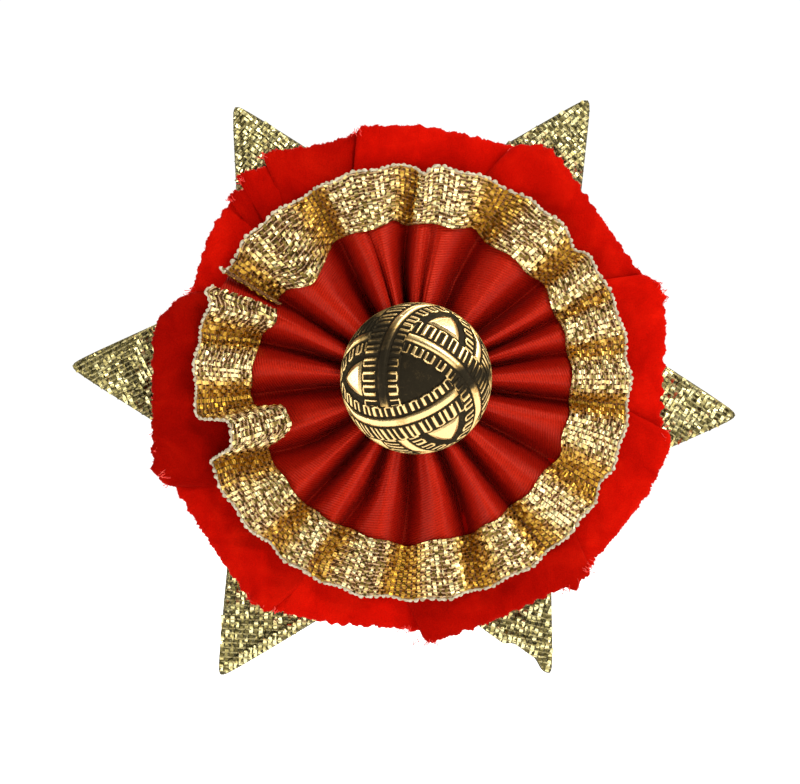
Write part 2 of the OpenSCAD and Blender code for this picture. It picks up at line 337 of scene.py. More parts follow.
def satin_material():
    m = Finish("red_satin", Roughness=0.40, Sheen_Weight=0.05, Sheen_Roughness=0.35,
               Sheen_Tint=(1.0, 0.2, 0.15, 1.0), Specular_IOR_Level=0.5,
               Specular_Tint=(1.0, 0.12, 0.06, 1.0))
    # Painted shade: the satin's colour darkens from the folds' ridges down into their valleys.
    tone = m.plus(m.layer("valley_shade"), m.noise(420, 4), 0.35)
    colour = m.ramp(tone, (0.08, (0.355, 0.009, 0.0026)), (0.32, (0.275, 0.0055, 0.0017)),
                    (0.62, (0.205, 0.0035, 0.0012)), (1.0, (0.17, 0.0026, 0.0009)))
    ribs = m.ribs(1, 0.40, 0.28)
    threads = m.noise(4200, 2)
    weave = m.plus(m.calc("MULTIPLY", ribs, 0.3), threads, 0.9)
    shade = m.ramp(weave, (0.25, (0.60, 0.5, 0.5)), (0.75, (1.16, 1.3, 1.2)))
    m.colour(m.times(colour, shade))
    m.bump(m.calc("ADD", ribs, threads), 0.5, 0.00008)
    m.rough(m.noise(700, 3), 0.2, 0.27)
    return m.material


def velvet_material():
    m = Finish("red_velvet", Roughness=0.95, Sheen_Weight=0.35, Sheen_Roughness=0.35,
               Sheen_Tint=(1.0, 0.06, 0.02, 1.0), Specular_IOR_Level=0.08,
               Specular_Tint=(1.0, 0.1, 0.05, 1.0))
    nap = m.noise(150, 3, 0.6, distortion=0.6)
    colour = m.ramp(nap, (0.3, (0.36, 0.0022, 0.0005)), (0.5, (0.44, 0.0032, 0.0006)),
                    (0.72, (0.54, 0.006, 0.0012)))
    pile = m.noise(7000, 2)
    speck = m.ramp(pile, (0.35, (0.78, 0.7, 0.7)), (0.65, (1.0, 1.0, 1.0)))
    # Painted light and shade: each pleat's colour is multiplied by its own brightness factor, so the pleats
    # are lit and shaded copies of one velvet.
    m.colour(m.times(m.times(colour, speck), m.layer("painted_pleat_light")))
    m.bump(m.plus(pile, nap, 2.0), 0.45, 0.00012)
    return m.material


def fibre_material():
    m = Finish("velvet_fibres", Roughness=0.8, Sheen_Weight=0.3, Sheen_Tint=(1.0, 0.4, 0.35, 1.0),
               Specular_IOR_Level=0.2)
    m.colour(m.ramp(m.noise(900, 2), (0.35, (0.62, 0.006, 0.004)), (0.62, (0.82, 0.035, 0.022)),
                    (0.8, (0.9, 0.16, 0.12))))
    m.bump(m.noise(9000, 1), 0.2, 0.00003)
    return m.material


def foil_material(name, light, mid, dark, rough, fold=()):
    """Metal foil whose cells differ in tone, as painted glints and painted dark reflections."""
    m = Finish(name, Metallic=1.0, Roughness=rough)
    tone = m.plus(m.layer("tone"), m.noise(900, 2), 0.3)
    m.colour(m.ramp(tone, (0.28, dark), (0.58, mid), (0.86, light)), fold)
    m.bump(m.noise(3500, 2, 0.6), 0.5, 0.00010)
    m.rough(m.noise(1800, 2), 0.25, rough - 0.1)
    return m.material


def thread_material(name, pale, dark, fold=()):
    m = Finish(name, Roughness=0.7, Sheen_Weight=0.03, Specular_IOR_Level=0.25)
    m.colour(m.ramp(m.noise(1500, 3), (0.35, dark), (0.65, pale)), fold)
    m.bump(m.noise(9000, 2), 0.35, 0.00004)
    return m.material


def net_material(name, low, mid, high):
    """The ground weave under the foil: threads with dark and coloured gaps between them; its dark colours
    are painted shade under the foil.
    """
    m = Finish(name, Roughness=0.6, Metallic=0.2, Specular_IOR_Level=0.3)
    mesh = m.calc("MULTIPLY", m.ribs(0, 0.4), m.ribs(1, 0.4))
    value = m.plus(m.calc("MULTIPLY", mesh, 0.4), m.noise(1100, 3), 0.7)
    m.colour(m.ramp(value, (0.28, low), (0.48, mid), (0.78, high)))
    m.bump(mesh, 0.8, 0.00012)
    return m.material


def brass_material():
    """Brass that is bright on the relief and dark in the recesses, with grime in both; its darkening layer
    also carries patches of painted dark reflection.
    """
    m = Finish("button_brass", Metallic=1.0, Roughness=0.26)
    patina_and_shade = m.layer("patina_and_shade")
    cloud = m.noise(350, 4)
    grime = m.noise(1900, 4, 0.65, distortion=0.8)
    tone = m.plus(patina_and_shade, m.calc("SUBTRACT", cloud, 0.45), 0.5)
    tone = m.plus(tone, m.calc("SUBTRACT", grime, 0.46), 0.75)
    m.colour(m.ramp(tone, (0.14, (0.86, 0.61, 0.27)), (0.38, (0.52, 0.33, 0.11)),
                    (0.64, (0.10, 0.066, 0.027)), (1.0, (0.027, 0.021, 0.012))))
    m.rough(tone, 0.35, 0.26)
    m.bump(grime, 0.3, 0.00007)
    return m.material


def plate_material(name, pale, dull, rough):
    """Plated metal with handling wear and fine scratches."""
    m = Finish(name, Metallic=1.0, Roughness=rough)
    m.colour(m.ramp(m.noise(500, 5), (0.35, dull), (0.6, pale)))
    stretched = m.add("Mapping", {"Vector": m.point(), "Scale": (0.06, 1.0, 1.0)})
    scratch = m.noise(6000, 3, 0.6, vector=stretched)
    m.rough(scratch, 0.22, rough - 0.09)
    m.bump(scratch, 0.12, 0.00003)
    return m.material


def felt_material():
    m = Finish("backing_felt", Roughness=0.95, Sheen_Weight=0.06, Sheen_Roughness=0.5,
               Sheen_Tint=(1.0, 0.35, 0.3, 1.0), Specular_IOR_Level=0.1)
    matted = m.noise(900, 5, 0.65, distortion=1.5)
    m.colour(m.ramp(matted, (0.3, (0.075, 0.002, 0.003)), (0.7, (0.17, 0.006, 0.008))))
    m.bump(m.calc("ADD", matted, m.noise(5000, 2)), 0.6, 0.00015)
    return m.material


def canvas_material():
    m = Finish("foundation_cloth", Roughness=0.85, Specular_IOR_Level=0.2)
    weave = m.calc("MULTIPLY", m.ribs(0, 0.6), m.ribs(1, 0.6))
    value = m.plus(m.calc("MULTIPLY", weave, 0.4), m.noise(600, 4), 0.6)
    m.colour(m.ramp(value, (0.2, (0.48, 0.44, 0.36)), (0.6, (0.74, 0.70, 0.61))))
    m.bump(weave, 0.7, 0.00015)
    return m.material


SATIN = satin_material()
VELVET = velvet_material()
FIBRE = fibre_material()
# Painted shade and a painted warm reflection on the metallic ribbon, from its ridges, 0, down to its
# valleys, 1.
GOLD_VALLEY_SHADE = [(0.0, (1.0, 1.0, 1.0)), (0.40, (0.84, 0.62, 0.27)), (1.0, (0.53, 0.33, 0.08))]
# The foils' dark and light colours are painted dark reflections and painted glints on their cells.
FOIL = foil_material("gold_foil", (0.90, 0.79, 0.38), (0.73, 0.57, 0.20), (0.16, 0.105, 0.025), 0.30,
                     fold=GOLD_VALLEY_SHADE)
STAR_FOIL = foil_material("lame_foil", (0.95, 0.86, 0.42), (0.56, 0.47, 0.17), (0.11, 0.09, 0.03), 0.28)
WARP = thread_material("warp_thread", (0.66, 0.44, 0.24), (0.42, 0.22, 0.09), fold=GOLD_VALLEY_SHADE)
PICOT = thread_material("picot_thread", (0.58, 0.51, 0.37), (0.33, 0.26, 0.15))
STAR_WARP = thread_material("lame_thread", (0.50, 0.42, 0.18), (0.22, 0.18, 0.065))
THREAD = thread_material("sewing_thread", (0.50, 0.012, 0.010), (0.30, 0.004, 0.004))
# The nets' darkest colours are painted shade in the gaps under the foil.
GOLD_NET = net_material("gold_net", (0.06, 0.010, 0.003), (0.17, 0.07, 0.014), (0.38, 0.22, 0.045))
STAR_NET = net_material("lame_net", (0.03, 0.026, 0.01), (0.12, 0.10, 0.036), (0.32, 0.27, 0.11))
BRASS = brass_material()
FELT = felt_material()
CANVAS = canvas_material()
NICKEL = plate_material("nickel_plate", (0.56, 0.54, 0.50), (0.36, 0.34, 0.31), 0.3)
STEEL = plate_material("pin_steel", (0.58, 0.58, 0.58), (0.42, 0.42, 0.43), 0.24)
LOCK = plate_material("lock_brass", (0.66, 0.50, 0.24), (0.42, 0.29, 0.11), 0.3)


# ---------------------------------------------------------------- the gathered ribbons' pleats

# Ridge angle, angle of the valley after it, the valley's depth at the middle and at the rim, and how
# many degrees it turns on its way to the rim.
PLEATS = [
    (-161, -150, 1.0, 0.9, -6), (-138, -129, 1.0, 0.75, -2.5), (-120, -111.5, 0.9, 0.75, -6.5),
    (-104, -92, 1.0, 0.95, -4), (-78, -68, 1.0, 1.0, -2), (-58, -49.5, 0.9, 0.85, -2),
    (-40, -29, 1.0, 1.0, -1), (-16, -6, 1.0, 0.85, 0), (3, 12, 0.75, 0.6, 0), (18, 24, 0.75, 0.6, 0),
    (30, 38, 1.0, 0.85, 0), (50, 67, 1.0, 0.9, -3.5), (80, 84, 0.25, 0.1, 0), (88, 94.5, 0.95, 0.75, -4),
    (102, 105.5, 0.25, 0.1, 0), (109, 118, 1.0, 0.9, -2), (135, 148, 0.8, 0.8, 0), (156, 164, 1.0, 0.9, 3),
    (173, 183, 1.0, 0.9, 0),
]
# Each pleat is two halves: ridge to valley, and the next ridge back to the same valley.
HALF_COUNT = 2 * len(PLEATS)
HALVES = []
for number, (ridge, valley, deep_in, deep_rim, skew) in enumerate(PLEATS):
    after = (number + 1) % len(PLEATS)
    next_ridge = PLEATS[after][0] + (FULL if after == 0 else 0.0)
    HALVES.append((ridge, valley - ridge, 0, deep_in, deep_rim, number, skew))
    HALVES.append((next_ridge, valley - next_ridge, 1, deep_in, deep_rim, after, skew))
HALVES = np.array(HALVES, float)
RIDGE_LIFT = np.random.default_rng(11).uniform(-0.35, 0.35, len(PLEATS))
# Ridge height, fold depth and how far a fold leans over its valley, each against the radius.
TOP_AT = ([4.2, 8, 11, 18, 24, 30, 33.5], [4.6, 6.5, 6.5, 5.3, 4.4, 3.3, 2.7])
DEPTH_AT = ([4.2, 8, 11, 18, 24, 30, 33.5], [2.5, 4.6, 5.2, 5.15, 4.3, 3.2, 2.8])
TUCK_AT = ([11, 24, 33], [0.62, 0.5, 0.4])
PULLED_DEG = -164.5        # where one fold of both ribbons is caught up by the gathering thread
PULL = 4.9
FLAT_R = 29.0              # radius at which a place along the pleats is turned into an angle


def ribbon_surface(u, r):
    """Angle, height and fold depth (0 ridge, 1 valley) at u, counted in half pleats, and at radius r."""
    u, r = np.broadcast_arrays(np.asarray(u, float), np.asarray(r, float))
    k = np.floor(u).astype(int)
    part = u - k
    ridge, step, back, deep_in, deep_rim, which, skew = np.moveaxis(HALVES[k % HALF_COUNT], -1, 0)
    step = step + skew * np.clip((r - 17) / 11.5, 0, 1.2)
    t = np.where(back > 0, 1 - part, part)
    tuck = np.interp(r, *TUCK_AT)
    deg = ridge + step * (t + tuck * np.sin(math.pi * t) / math.pi)
    fold = (0.5 - 0.5 * np.cos(math.pi * t)) ** 0.92
    deep = deep_in + (deep_rim - deep_in) * smoothstep(r, 14, 33)
    height = np.interp(r, *TOP_AT) - deep * np.interp(r, *DEPTH_AT) * fold
    height = height + RIDGE_LIFT[which.astype(int)] * (1 - smoothstep(t, 0, 1)) * smoothstep(r, 9, 15)
    a = np.radians(deg)
    wander = np.sin(5 * a + 0.11 * r + 1.0) + 0.7 * np.sin(9 * a - 0.16 * r + 2.2)
    deg = deg + wander * 0.75 * (0.4 + r / 33)
    around = TAU * u / HALF_COUNT
    crease = (np.sin(61 * around + 0.05 * r) + np.sin(97 * around - 0.08 * r + 1.0)
              + 0.8 * np.sin(143 * around + 0.12 * r + 2.0))
    height = height + 0.06 * crease * (1 - smoothstep(r, 12, 24)) + 0.02 * crease
    turns = np.floor(u / HALF_COUNT)
    return deg + FULL * turns, height, fold * np.clip(deep, 0, 1)


def pulled_in(u):
    """How far, 0 to 1, the ribbons are pulled inwards at u."""
    off = angle_off(ribbon_surface(u, FLAT_R)[0], PULLED_DEG)
    return np.exp(-np.abs(off / 5.5) ** 7)


SATIN_IN, SATIN_OUT = 5.0, 32.6
SATIN_PER_HALF, SATIN_ROWS = 34, 52


def build_satin():
    """The gathered satin ribbon, a closed ring of radial pleats."""
    along = np.arange(HALF_COUNT * SATIN_PER_HALF) / SATIN_PER_HALF
    u, r = np.meshgrid(along, np.linspace(SATIN_IN, SATIN_OUT, SATIN_ROWS), indexing="ij")
    r = r - PULL * pulled_in(u) * smoothstep(r, 14, SATIN_OUT)
    deg, height, fold = ribbon_surface(u, r)
    points = place(r, deg, VELVET_FRONT - height)
    across = np.linalg.norm(np.diff(points[:, SATIN_ROWS // 2], axis=0), axis=-1)
    across = np.concatenate([[0.0], np.cumsum(across)])
    rows, cols = u.shape
    j = np.arange(cols - 1)
    last = (rows - 1) * cols
    faces = [grid_faces(rows, cols, flip=True), np.stack([j + last, j, j + 1, j + 1 + last], -1)]
    # The fold depth goes to the satin's colour as painted shade in the valleys.
    satin = mesh_piece("satin_rosette", points, faces, SATIN, "red_satin", layers={"valley_shade": fold},
                       uv=np.stack([np.repeat(across[:, None], cols, 1), r], -1))
    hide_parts("satin_ribbon")
    return satin


satin = build_satin()

# ---------------------------------------------------------------- the metallic ribbon

GOLD_START, GOLD_STOP = 33.72, 71.80     # along the pleats, in half pleats
GOLD_WIDTH = 11.0
GOLD_LIFT = 0.42
FOIL_PITCH, FOIL_HALF = 0.80, 0.30
WARP_COUNT = 15
CELL_STEPS = 6                  # mesh steps to each foil strip and to each warp thread
# Bumps of the inner edge and of the rim: angle, how far it moves outwards, and its width in degrees.
INNER_BUMPS = [(132, -3.0, 9), (157, -1.6, 5), (68, 1.0, 5), (38, 0.8, 4), (-27, 0.8, 5),
               (-94, 0.7, 5), (95, 0.6, 3), (119, 0.8, 4), (-131, 0.5, 4), (-69, 0.6, 4), (184, 0.7, 3)]
RIM_BUMPS = [(86.6, -1.1, 2.2), (39, -1.0, 2.5), (154.5, 1.2, 2.0), (-94, -0.4, 3),
             (-27, -0.4, 3), (119, -0.35, 3), (138, 0.3, 6), (-131, -0.3, 3), (7, -0.2, 3)]
# Places where the foil gets a painted highlight, size above 0, and painted shade, size below 0: angle, how
# much, and its width in degrees.
FOIL_PAINTED_LIGHT = [(-13, 0.22, 9), (82, 0.30, 7), (68, -0.32, 5), (137, -0.24, 13), (166, 0.10, 6),
              (30, -0.1, 6), (-107, -0.16, 6), (-139, -0.15, 6), (-59, -0.14, 7)]


def bumps(deg, table):
    total = np.zeros(np.shape(deg))
    for at, size, wide in table:
        total = total + size * np.exp(-(angle_off(deg, at) / wide) ** 2)
    return total


def gold_surface(u, v):
    """Points of the metallic ribbon at u along the pleats and v from its inner edge, 0, to its rim, 1,
    and how far down into a valley they lie."""
    u, v = np.broadcast_arrays(np.asarray(u, float), np.asarray(v, float))
    flat_deg = ribbon_surface(u, FLAT_R)[0]
    pulled = pulled_in(u)
    r_in = 24.3 + bumps(flat_deg, INNER_BUMPS) + 0.18 * np.sin(np.radians(flat_deg) * 23) - PULL * pulled
    r_rim = 33.2 + bumps(flat_deg, RIM_BUMPS) + 0.22 * np.sin(np.radians(flat_deg) * 31 + 1) - 4.6 * pulled
    r = r_in + (r_rim - r_in) * v
    deg, height, fold = ribbon_surface(u, r)
    to_stop = GOLD_STOP - u
    start = np.exp(-(u - GOLD_START) / 0.25)
    stop = np.exp(-to_stop / 0.3)
    # The last millimetres stand up over the ribbon's start and roll under.
    roll = 1.9 * (1 - np.clip(to_stop / 0.55, 0, 1))
    overlap = 1.3 * (1 - smoothstep(to_stop, 0, 1.2)) * (0.4 + v)
    deg = deg + start * (-0.3 + 1.4 * v) - stop * 2.6 * v - np.degrees(1.6 * (roll - np.sin(roll)) / r)
    wide = np.exp(-(angle_off(flat_deg, 137.0) / 10) ** 2)
    height = height + GOLD_LIFT + 0.35 * (1 - v) ** 3 + 1.3 * pulled + 0.5 * wide + overlap - 0.3 * start
    height = height - 1.6 * (1 - np.cos(roll))
    # How far down a point lies in a valley and in the rolled-under end; the ribbon's colour takes painted
    # shade from it.
    valley = np.maximum(smoothstep(fold, 0.10, 0.90) * (1 - 0.8 * pulled), smoothstep(roll, 0.2, 0.9))
    return place(r, deg, VELVET_FRONT - height), valley


def build_gold():
    """The metallic ribbon: a ground net, foil strips across it, warp threads along it and a picot edge."""
    coarse_u = np.linspace(GOLD_START, GOLD_STOP, 3000)
    middle = gold_surface(coarse_u, 0.55)[0]
    length_at = np.concatenate([[0.0], np.cumsum(np.linalg.norm(np.diff(middle, axis=0), axis=-1))])
    length = float(length_at[-1])
    foils = int(length / FOIL_PITCH)
    fine_u = np.interp(np.linspace(0, length, foils * CELL_STEPS + 1), length_at, coarse_u)
    fine_v = np.linspace(0, 1, WARP_COUNT * CELL_STEPS + 1)
    points, valley = gold_surface(*np.meshgrid(fine_u, fine_v, indexing="ij"))
    normal = unit(np.cross(np.gradient(points, axis=1), np.gradient(points, axis=0)))
    if normal[..., 1].mean() > 0:
        normal = -normal
    run = unit(np.gradient(points, axis=0))

    ground = points[::2, ::3] - 0.12 * normal[::2, ::3]
    rows, cols = ground.shape[:2]
    flat = np.stack(np.meshgrid(np.linspace(0, length, rows), np.linspace(0, GOLD_WIDTH, cols),
                                indexing="ij"), -1)
    gold = mesh_piece("gold_net_ribbon", ground, grid_faces(rows, cols, flip=True), GOLD_NET, "gold_ribbon",
                      uv=flat, layers={"slope": valley[::2, ::3]})
    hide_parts("gold_ribbon")

    # Foil strips run across the ribbon, over and under the warp threads, each with its own roll.
    rng = np.random.default_rng(21)
    strip_at = np.arange(foils) * CELL_STEPS + CELL_STEPS // 2
    centre = points[strip_at]
    row = np.arange(fine_v.size) / CELL_STEPS
    phase = math.pi * (row[None, :] + np.arange(foils)[:, None])
    cell = np.stack(np.meshgrid(np.arange(foils) * 2.1, row, indexing="ij"), -1)
    slope = valley[strip_at]
    calm = 1 - 0.68 * slope
    roll = calm * (rng.normal(0, 0.28, (foils, 1)) + 0.50 * ripple(cell, 2.6, 22))
    # Painted glints and painted dark reflections: each foil cell's tone, bright for a glint and dark for a
    # dark reflection, calmer down in the valleys.
    tone = 0.5 + 0.38 * ripple(cell, 2.2, 23) + 0.14 * rng.normal(size=(foils, 1))
    tone = 0.66 + (tone - 0.66) * calm
    centre_deg = np.degrees(np.arctan2(centre[..., 2] - HEART[1], centre[..., 0] - HEART[0]))
    tone = np.clip(tone + bumps(centre_deg, FOIL_PAINTED_LIGHT), 0, 1)
    half_width = FOIL_HALF * (1 + 0.1 * rng.normal(size=(foils, 1, 1)))
    spine = centre + normal[strip_at] * (0.11 * np.cos(phase) + 0.03)[..., None]
    strips = foil_strips(spine, run[strip_at], normal[strip_at], roll, half_width)
    # The slope layer puts painted shade into the foil in the valleys.
    layers = {"slope": np.repeat(slope, 2, axis=1), "tone": np.repeat(tone, 2, axis=1)}
    faces = repeated(grid_faces(fine_v.size, 2, flip=True), foils, fine_v.size * 2)
    foil = mesh_piece("gold_foil_weft", strips, faces, FOIL, "gold_ribbon", layers=layers, smooth=False)

    # Warp threads run along the ribbon, over and under the foil.
    warp_at = np.ix_(np.arange(0, foils * CELL_STEPS + 1, 2),
                     np.arange(WARP_COUNT) * CELL_STEPS + CELL_STEPS // 2)
    line = points[warp_at].swapaxes(0, 1)
    line_n = normal[warp_at].swapaxes(0, 1)
    side = unit(np.cross(line_n, np.gradient(line, axis=1)))
    steps = line.shape[1]
    over = np.cos(math.pi * ((np.arange(steps) / 3 - 0.5)[None, :] + np.arange(WARP_COUNT)[:, None]))
    line = line + line_n * (0.09 * over + 0.04 + 0.02 * rng.normal(size=over.shape))[..., None]
    line = line + side * 0.03 * rng.normal(size=over.shape)[..., None]
    # The slope layer puts painted shade into the warp threads in the valleys.
    warp = mesh_piece("gold_warp_threads", thread_ridges(line, side, line_n, 0.10, 0.04),
                      repeated(grid_faces(steps, 3), WARP_COUNT, steps * 3), WARP, "gold_ribbon",
                      layers={"slope": np.repeat(valley[warp_at].T, 3, axis=1)})

    # The picot edge: a bumpy cord along the rim.
    number = np.arange(len(points))
    beat = 0.5 + 0.5 * np.cos(TAU * number / CELL_STEPS)
    wave = ripple(number[:, None], 9.0, 24)
    outward = unit(points[:, -1] - points[:, -3])
    rim = (points[:, -1] + (0.07 * wave)[:, None] * normal[:, -1]
           + (0.10 * beat + 0.04 * wave)[:, None] * outward)
    verts, faces = tubes(rim[None], (0.15 + 0.13 * beat + 0.03 * wave)[None], sides=7)
    picot = mesh_piece("gold_picot_edge", verts, faces, PICOT, "gold_ribbon")


build_gold()

# ---------------------------------------------------------------- velvet pleats

# Each pleat: outline angles and radii from its left end to its right one, whether its left and right
# ends lie over (1) or under (0) the neighbour there, and the painted light and shade on its nap, as a
# brightness factor: painted shade below 1, painted light above 1.
PETALS = [
    ([(102, 40.5), (88, 39.7), (80, 39.2), (68, 39.6)], 1, 0, 1.15),
    ([(67, 39.9), (61, 41.9), (57, 41.6), (49, 39.7), (37, 38.5), (27, 39)], 1, 0, 1.0),
    ([(25, 40), (20.5, 41.3), (12, 40.0), (0, 38.6), (-9, 39)], 1, 0, 1.2),
    ([(-11, 40.9), (-15, 40.9), (-25, 40.2), (-37, 39.2), (-44, 39.3)], 1, 0, 1.07),
    ([(-46, 39.6), (-47.2, 40.5), (-49.5, 40.0), (-51.8, 40.8), (-53.3, 39.2), (-60, 38.6), (-73, 38.8),
      (-87, 40.3)], 1, 1, 0.78),
    ([(-88, 38.4), (-96, 37.8), (-108, 39), (-123, 41.5)], 0, 0, 1.2),
    ([(-122, 42), (-129, 41.2), (-137, 40.1), (-145, 39.5), (-156, 40)], 1, 0, 0.97),
    ([(-157, 41), (-161, 42.2), (-166, 41.2), (-180, 40), (-191, 40.6), (-195, 40.1),
      (-202, 37.5)], 1, 1, 0.60),
    ([(-203, 36.9), (-211, 37.8), (-217, 38.8), (-221, 39.3), (-225, 39.6)], 0, 0, 1.08),
    ([(-236.8, 42.4), (-240, 41.4), (-245, 40), (-251, 39.2), (-258, 39.6)], 1, 0, 0.84),
]
# Two more layers that step out from under the last pleat's left end: outline, how far back each lies,
# and the painted shade on its nap, as a brightness factor.
UNDER_LAYERS = [([(-229.6, 42.3), (-234.4, 40.6), (-240, 39.4), (-246, 39.0)], 0.55, 0.92),
                ([(-225.2, 41.1), (-227.3, 40.1), (-234, 39.0), (-240, 38.5)], 1.1, 0.84)]
PETAL_THICK, UNDER_THICK = 2.3, 0.9
PETAL_IN = 21.0
PETAL_EDGE = 0.7           # how far the rounding of a pleat's edge reaches in
PETAL_CORNER = 1.3
UNDER_REACH = 3.6          # how far an under end runs on beneath its neighbour
UNDER_DIP = 1.75           # how far back it bends there
PETAL_COLS, PETAL_ROWS = 150, 30


def petal_edge(number, outline, over_left, over_right):
    """A pleat's middle angle, places across it, how far out its cut edge is at each, the gaps from there
    to its left and right ends, and how near its middle each is, from 0 to 1."""
    outline = np.array(outline, float)
    mid = (outline[0, 0] + outline[-1, 0]) / 2
    off = np.radians(outline[:, 0] - mid)
    lateral = outline[:, 1] * np.sin(off)
    reach = outline[:, 1] * np.cos(off)
    left, right = lateral.max(), lateral.min()
    left_end = left + (0.0 if over_left else UNDER_REACH)
    right_end = right - (0.0 if over_right else UNDER_REACH)
    # Columns lie closer together at both ends.
    e = np.linspace(0, 1, PETAL_COLS)
    e = 0.5 - 0.5 * np.cos(math.pi * e) * (1 - 0.25 * np.sin(math.pi * e))
    s = right_end + (left_end - right_end) * e
    order = np.argsort(lateral)
    out = smoothed(np.interp(s, lateral[order], reach[order]), 3)
    out -= 0.5 * smoothstep(s, left, left_end + 0.01) + 0.5 * smoothstep(-s, -right, -right_end + 0.01)
    across = s[:, None]
    scallop = 0.055 * np.abs(np.sin(s * math.pi / 0.8 + number)) * (1 + ripple(across, 3.1, 150 + number))
    scallop = scallop + 0.11 * ripple(across, 2.4, 100 + number) + 0.05 * ripple(across, 0.7, 130 + number)
    out = out + scallop
    gap_l, gap_r = left_end - s, s - right_end
    for gap in (gap_l, gap_r):
        near = np.clip(1 - gap / PETAL_CORNER, 0, 1)
        out = out - PETAL_CORNER * (1 - np.sqrt(np.maximum(1 - near ** 2, 0)))
    belly = np.sin(math.pi * e)
    return mid, s, out, gap_l, gap_r, belly


def edge_round(gap):
    """0 at a pleat's edge, rising to 1 where its rounding ends."""
    return np.sqrt(np.clip(1 - np.clip(1 - gap / PETAL_EDGE, 0, 1) ** 2, 0, 1))


def petal_mesh(number, outline, over_left, over_right, thick=PETAL_THICK, behind=0.0):
    """Closed cloth fold with parallel sides and a rounded edge, bent back where it passes under."""
    mid, s, out, gap_l, gap_r, belly = petal_edge(number, outline, over_left, over_right)
    b = 1 - (1 - np.linspace(0, 1, PETAL_ROWS)) ** 1.5
    reach = PETAL_IN + (out[:, None] - PETAL_IN) * b
    from_out = out[:, None] - reach
    from_side = np.minimum(gap_l, gap_r)[:, None]
    ends = 1 - smoothstep(from_side, 2.0, 9.0)
    half = 0.25 * thick * (1 + edge_round(from_out) * edge_round(from_side)) * (1 - 0.35 * ends)
    dip = UNDER_DIP * ((1 - over_left) * (1 - smoothstep(gap_l, 3.2, 10))
                       + (1 - over_right) * (1 - smoothstep(gap_r, 3.2, 10)))
    lateral = np.broadcast_to(s[:, None], reach.shape)
    flat = np.stack([lateral, reach], -1)
    wave = 0.13 * ripple(flat, 9.0, 200 + number) + 0.035 * ripple(flat, 2.6, 300 + number)
    curl = 0.45 * np.clip(1 - from_out / 4.5, 0, 1) ** 2 + 0.25 * np.clip(1 - from_side / 2.5, 0, 1) ** 2
    centre_y = (VELVET_FRONT + half.max() + 0.10 + behind - 0.35 * thick * 0.5 * ends + dip[:, None] + curl
                + wave - 0.15 * belly[:, None])
    centre_y = np.minimum(centre_y, VELVET_BACK - half - 0.03)
    out_dir, left_dir = directions(mid)
    xz = HEART + reach[..., None] * out_dir + lateral[..., None] * left_dir
    front = upright(xz, centre_y - half)
    back = upright(xz, centre_y + half)
    # The loop round the cloth at each column: front layer, notch between the layers, back layer.
    notch = (front[:, -1] + back[:, -1]) / 2 - 0.8 * upright(out_dir, 0.0)
    loop = np.concatenate([front, notch[:, None], back[:, ::-1]], axis=1)
    rows, cols = loop.shape[:2]
    uv = np.concatenate([flat, flat[:, -1:] + [30.0, 0.0], (flat + [60.0, 0.0])[:, ::-1]], axis=1)
    # Both ends are closed between the front and back layers.
    j = np.arange(PETAL_ROWS - 1)
    cap = np.stack([j, j + 1, cols - 2 - j, cols - 1 - j], -1)
    tip = np.array([[PETAL_ROWS - 1, PETAL_ROWS, PETAL_ROWS + 1]])
    last = (rows - 1) * cols
    quads = [grid_faces(rows, cols, close_cols=True, flip=True), cap[:, ::-1], cap + last]
    return loop, [np.concatenate(quads), np.concatenate([tip[:, ::-1], tip + last])], uv, front[:, -1]


def build_velvet():
    """All pleats and under layers. Gives the points along their cut edges."""
    edges = []

    def velvet(name, shade, *shape, **options):
        points, faces, uv, rim = petal_mesh(*shape, **options)
        edges.append(rim)
        # Each pleat carries its painted light and shade as a brightness factor.
        return mesh_piece(name, points, faces, VELVET, "red_velvet", uv=uv,
                          layers={"painted_pleat_light": np.full(points.shape[:2], shade)})

    for i, (outline, over_left, over_right, shade) in enumerate(PETALS, start=1):
        petal = velvet(f"velvet_pleat_{i}", shade, i, outline, over_left, over_right)
        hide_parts(f"velvet_petal_{i}")
    for i, (outline, behind, shade) in enumerate(UNDER_LAYERS, start=1):
        under = velvet(f"velvet_step_{i}", shade, len(PETALS) + i, outline, 1, 0, thick=UNDER_THICK,
                       behind=behind)
    return np.concatenate(edges)


FUZZ = 2600                # short pile fibres that stand out from the cut edges
FUZZ_THICK = np.array([[0.045, 0.035, 0.008]])


def build_fuzz(roots):
    rng = np.random.default_rng(31)
    pick = rng.integers(0, len(roots) - 1, FUZZ)
    step = roots[pick + 1] - roots[pick]
    at = roots[pick] + step * rng.random((FUZZ, 1)) * 0.98
    between_pleats = np.linalg.norm(step, axis=-1) > 3
    at[between_pleats] = roots[pick][between_pleats]
    away = unit((at - upright(HEART, 0.0)) * [1, 0, 1])
    lean = unit(away + 1.0 * rng.normal(size=(FUZZ, 3)) * [1, 0.8, 1])
    reach = rng.uniform(0.12, 0.42, (FUZZ, 1))
    start = at - 0.12 * away + rng.normal(0, 0.16, (FUZZ, 3)) * [0, 1, 0]
    knee = start + lean * reach * 0.6
    tip = knee + unit(lean + 0.6 * rng.normal(size=(FUZZ, 3))) * reach * 0.5
    verts, faces = tubes(np.stack([start, knee, tip], axis=1), FUZZ_THICK, ref=(0.3, 1.0, 0.2))
    mesh_piece("velvet_edge_fuzz", verts, faces, FIBRE, "red_velvet")


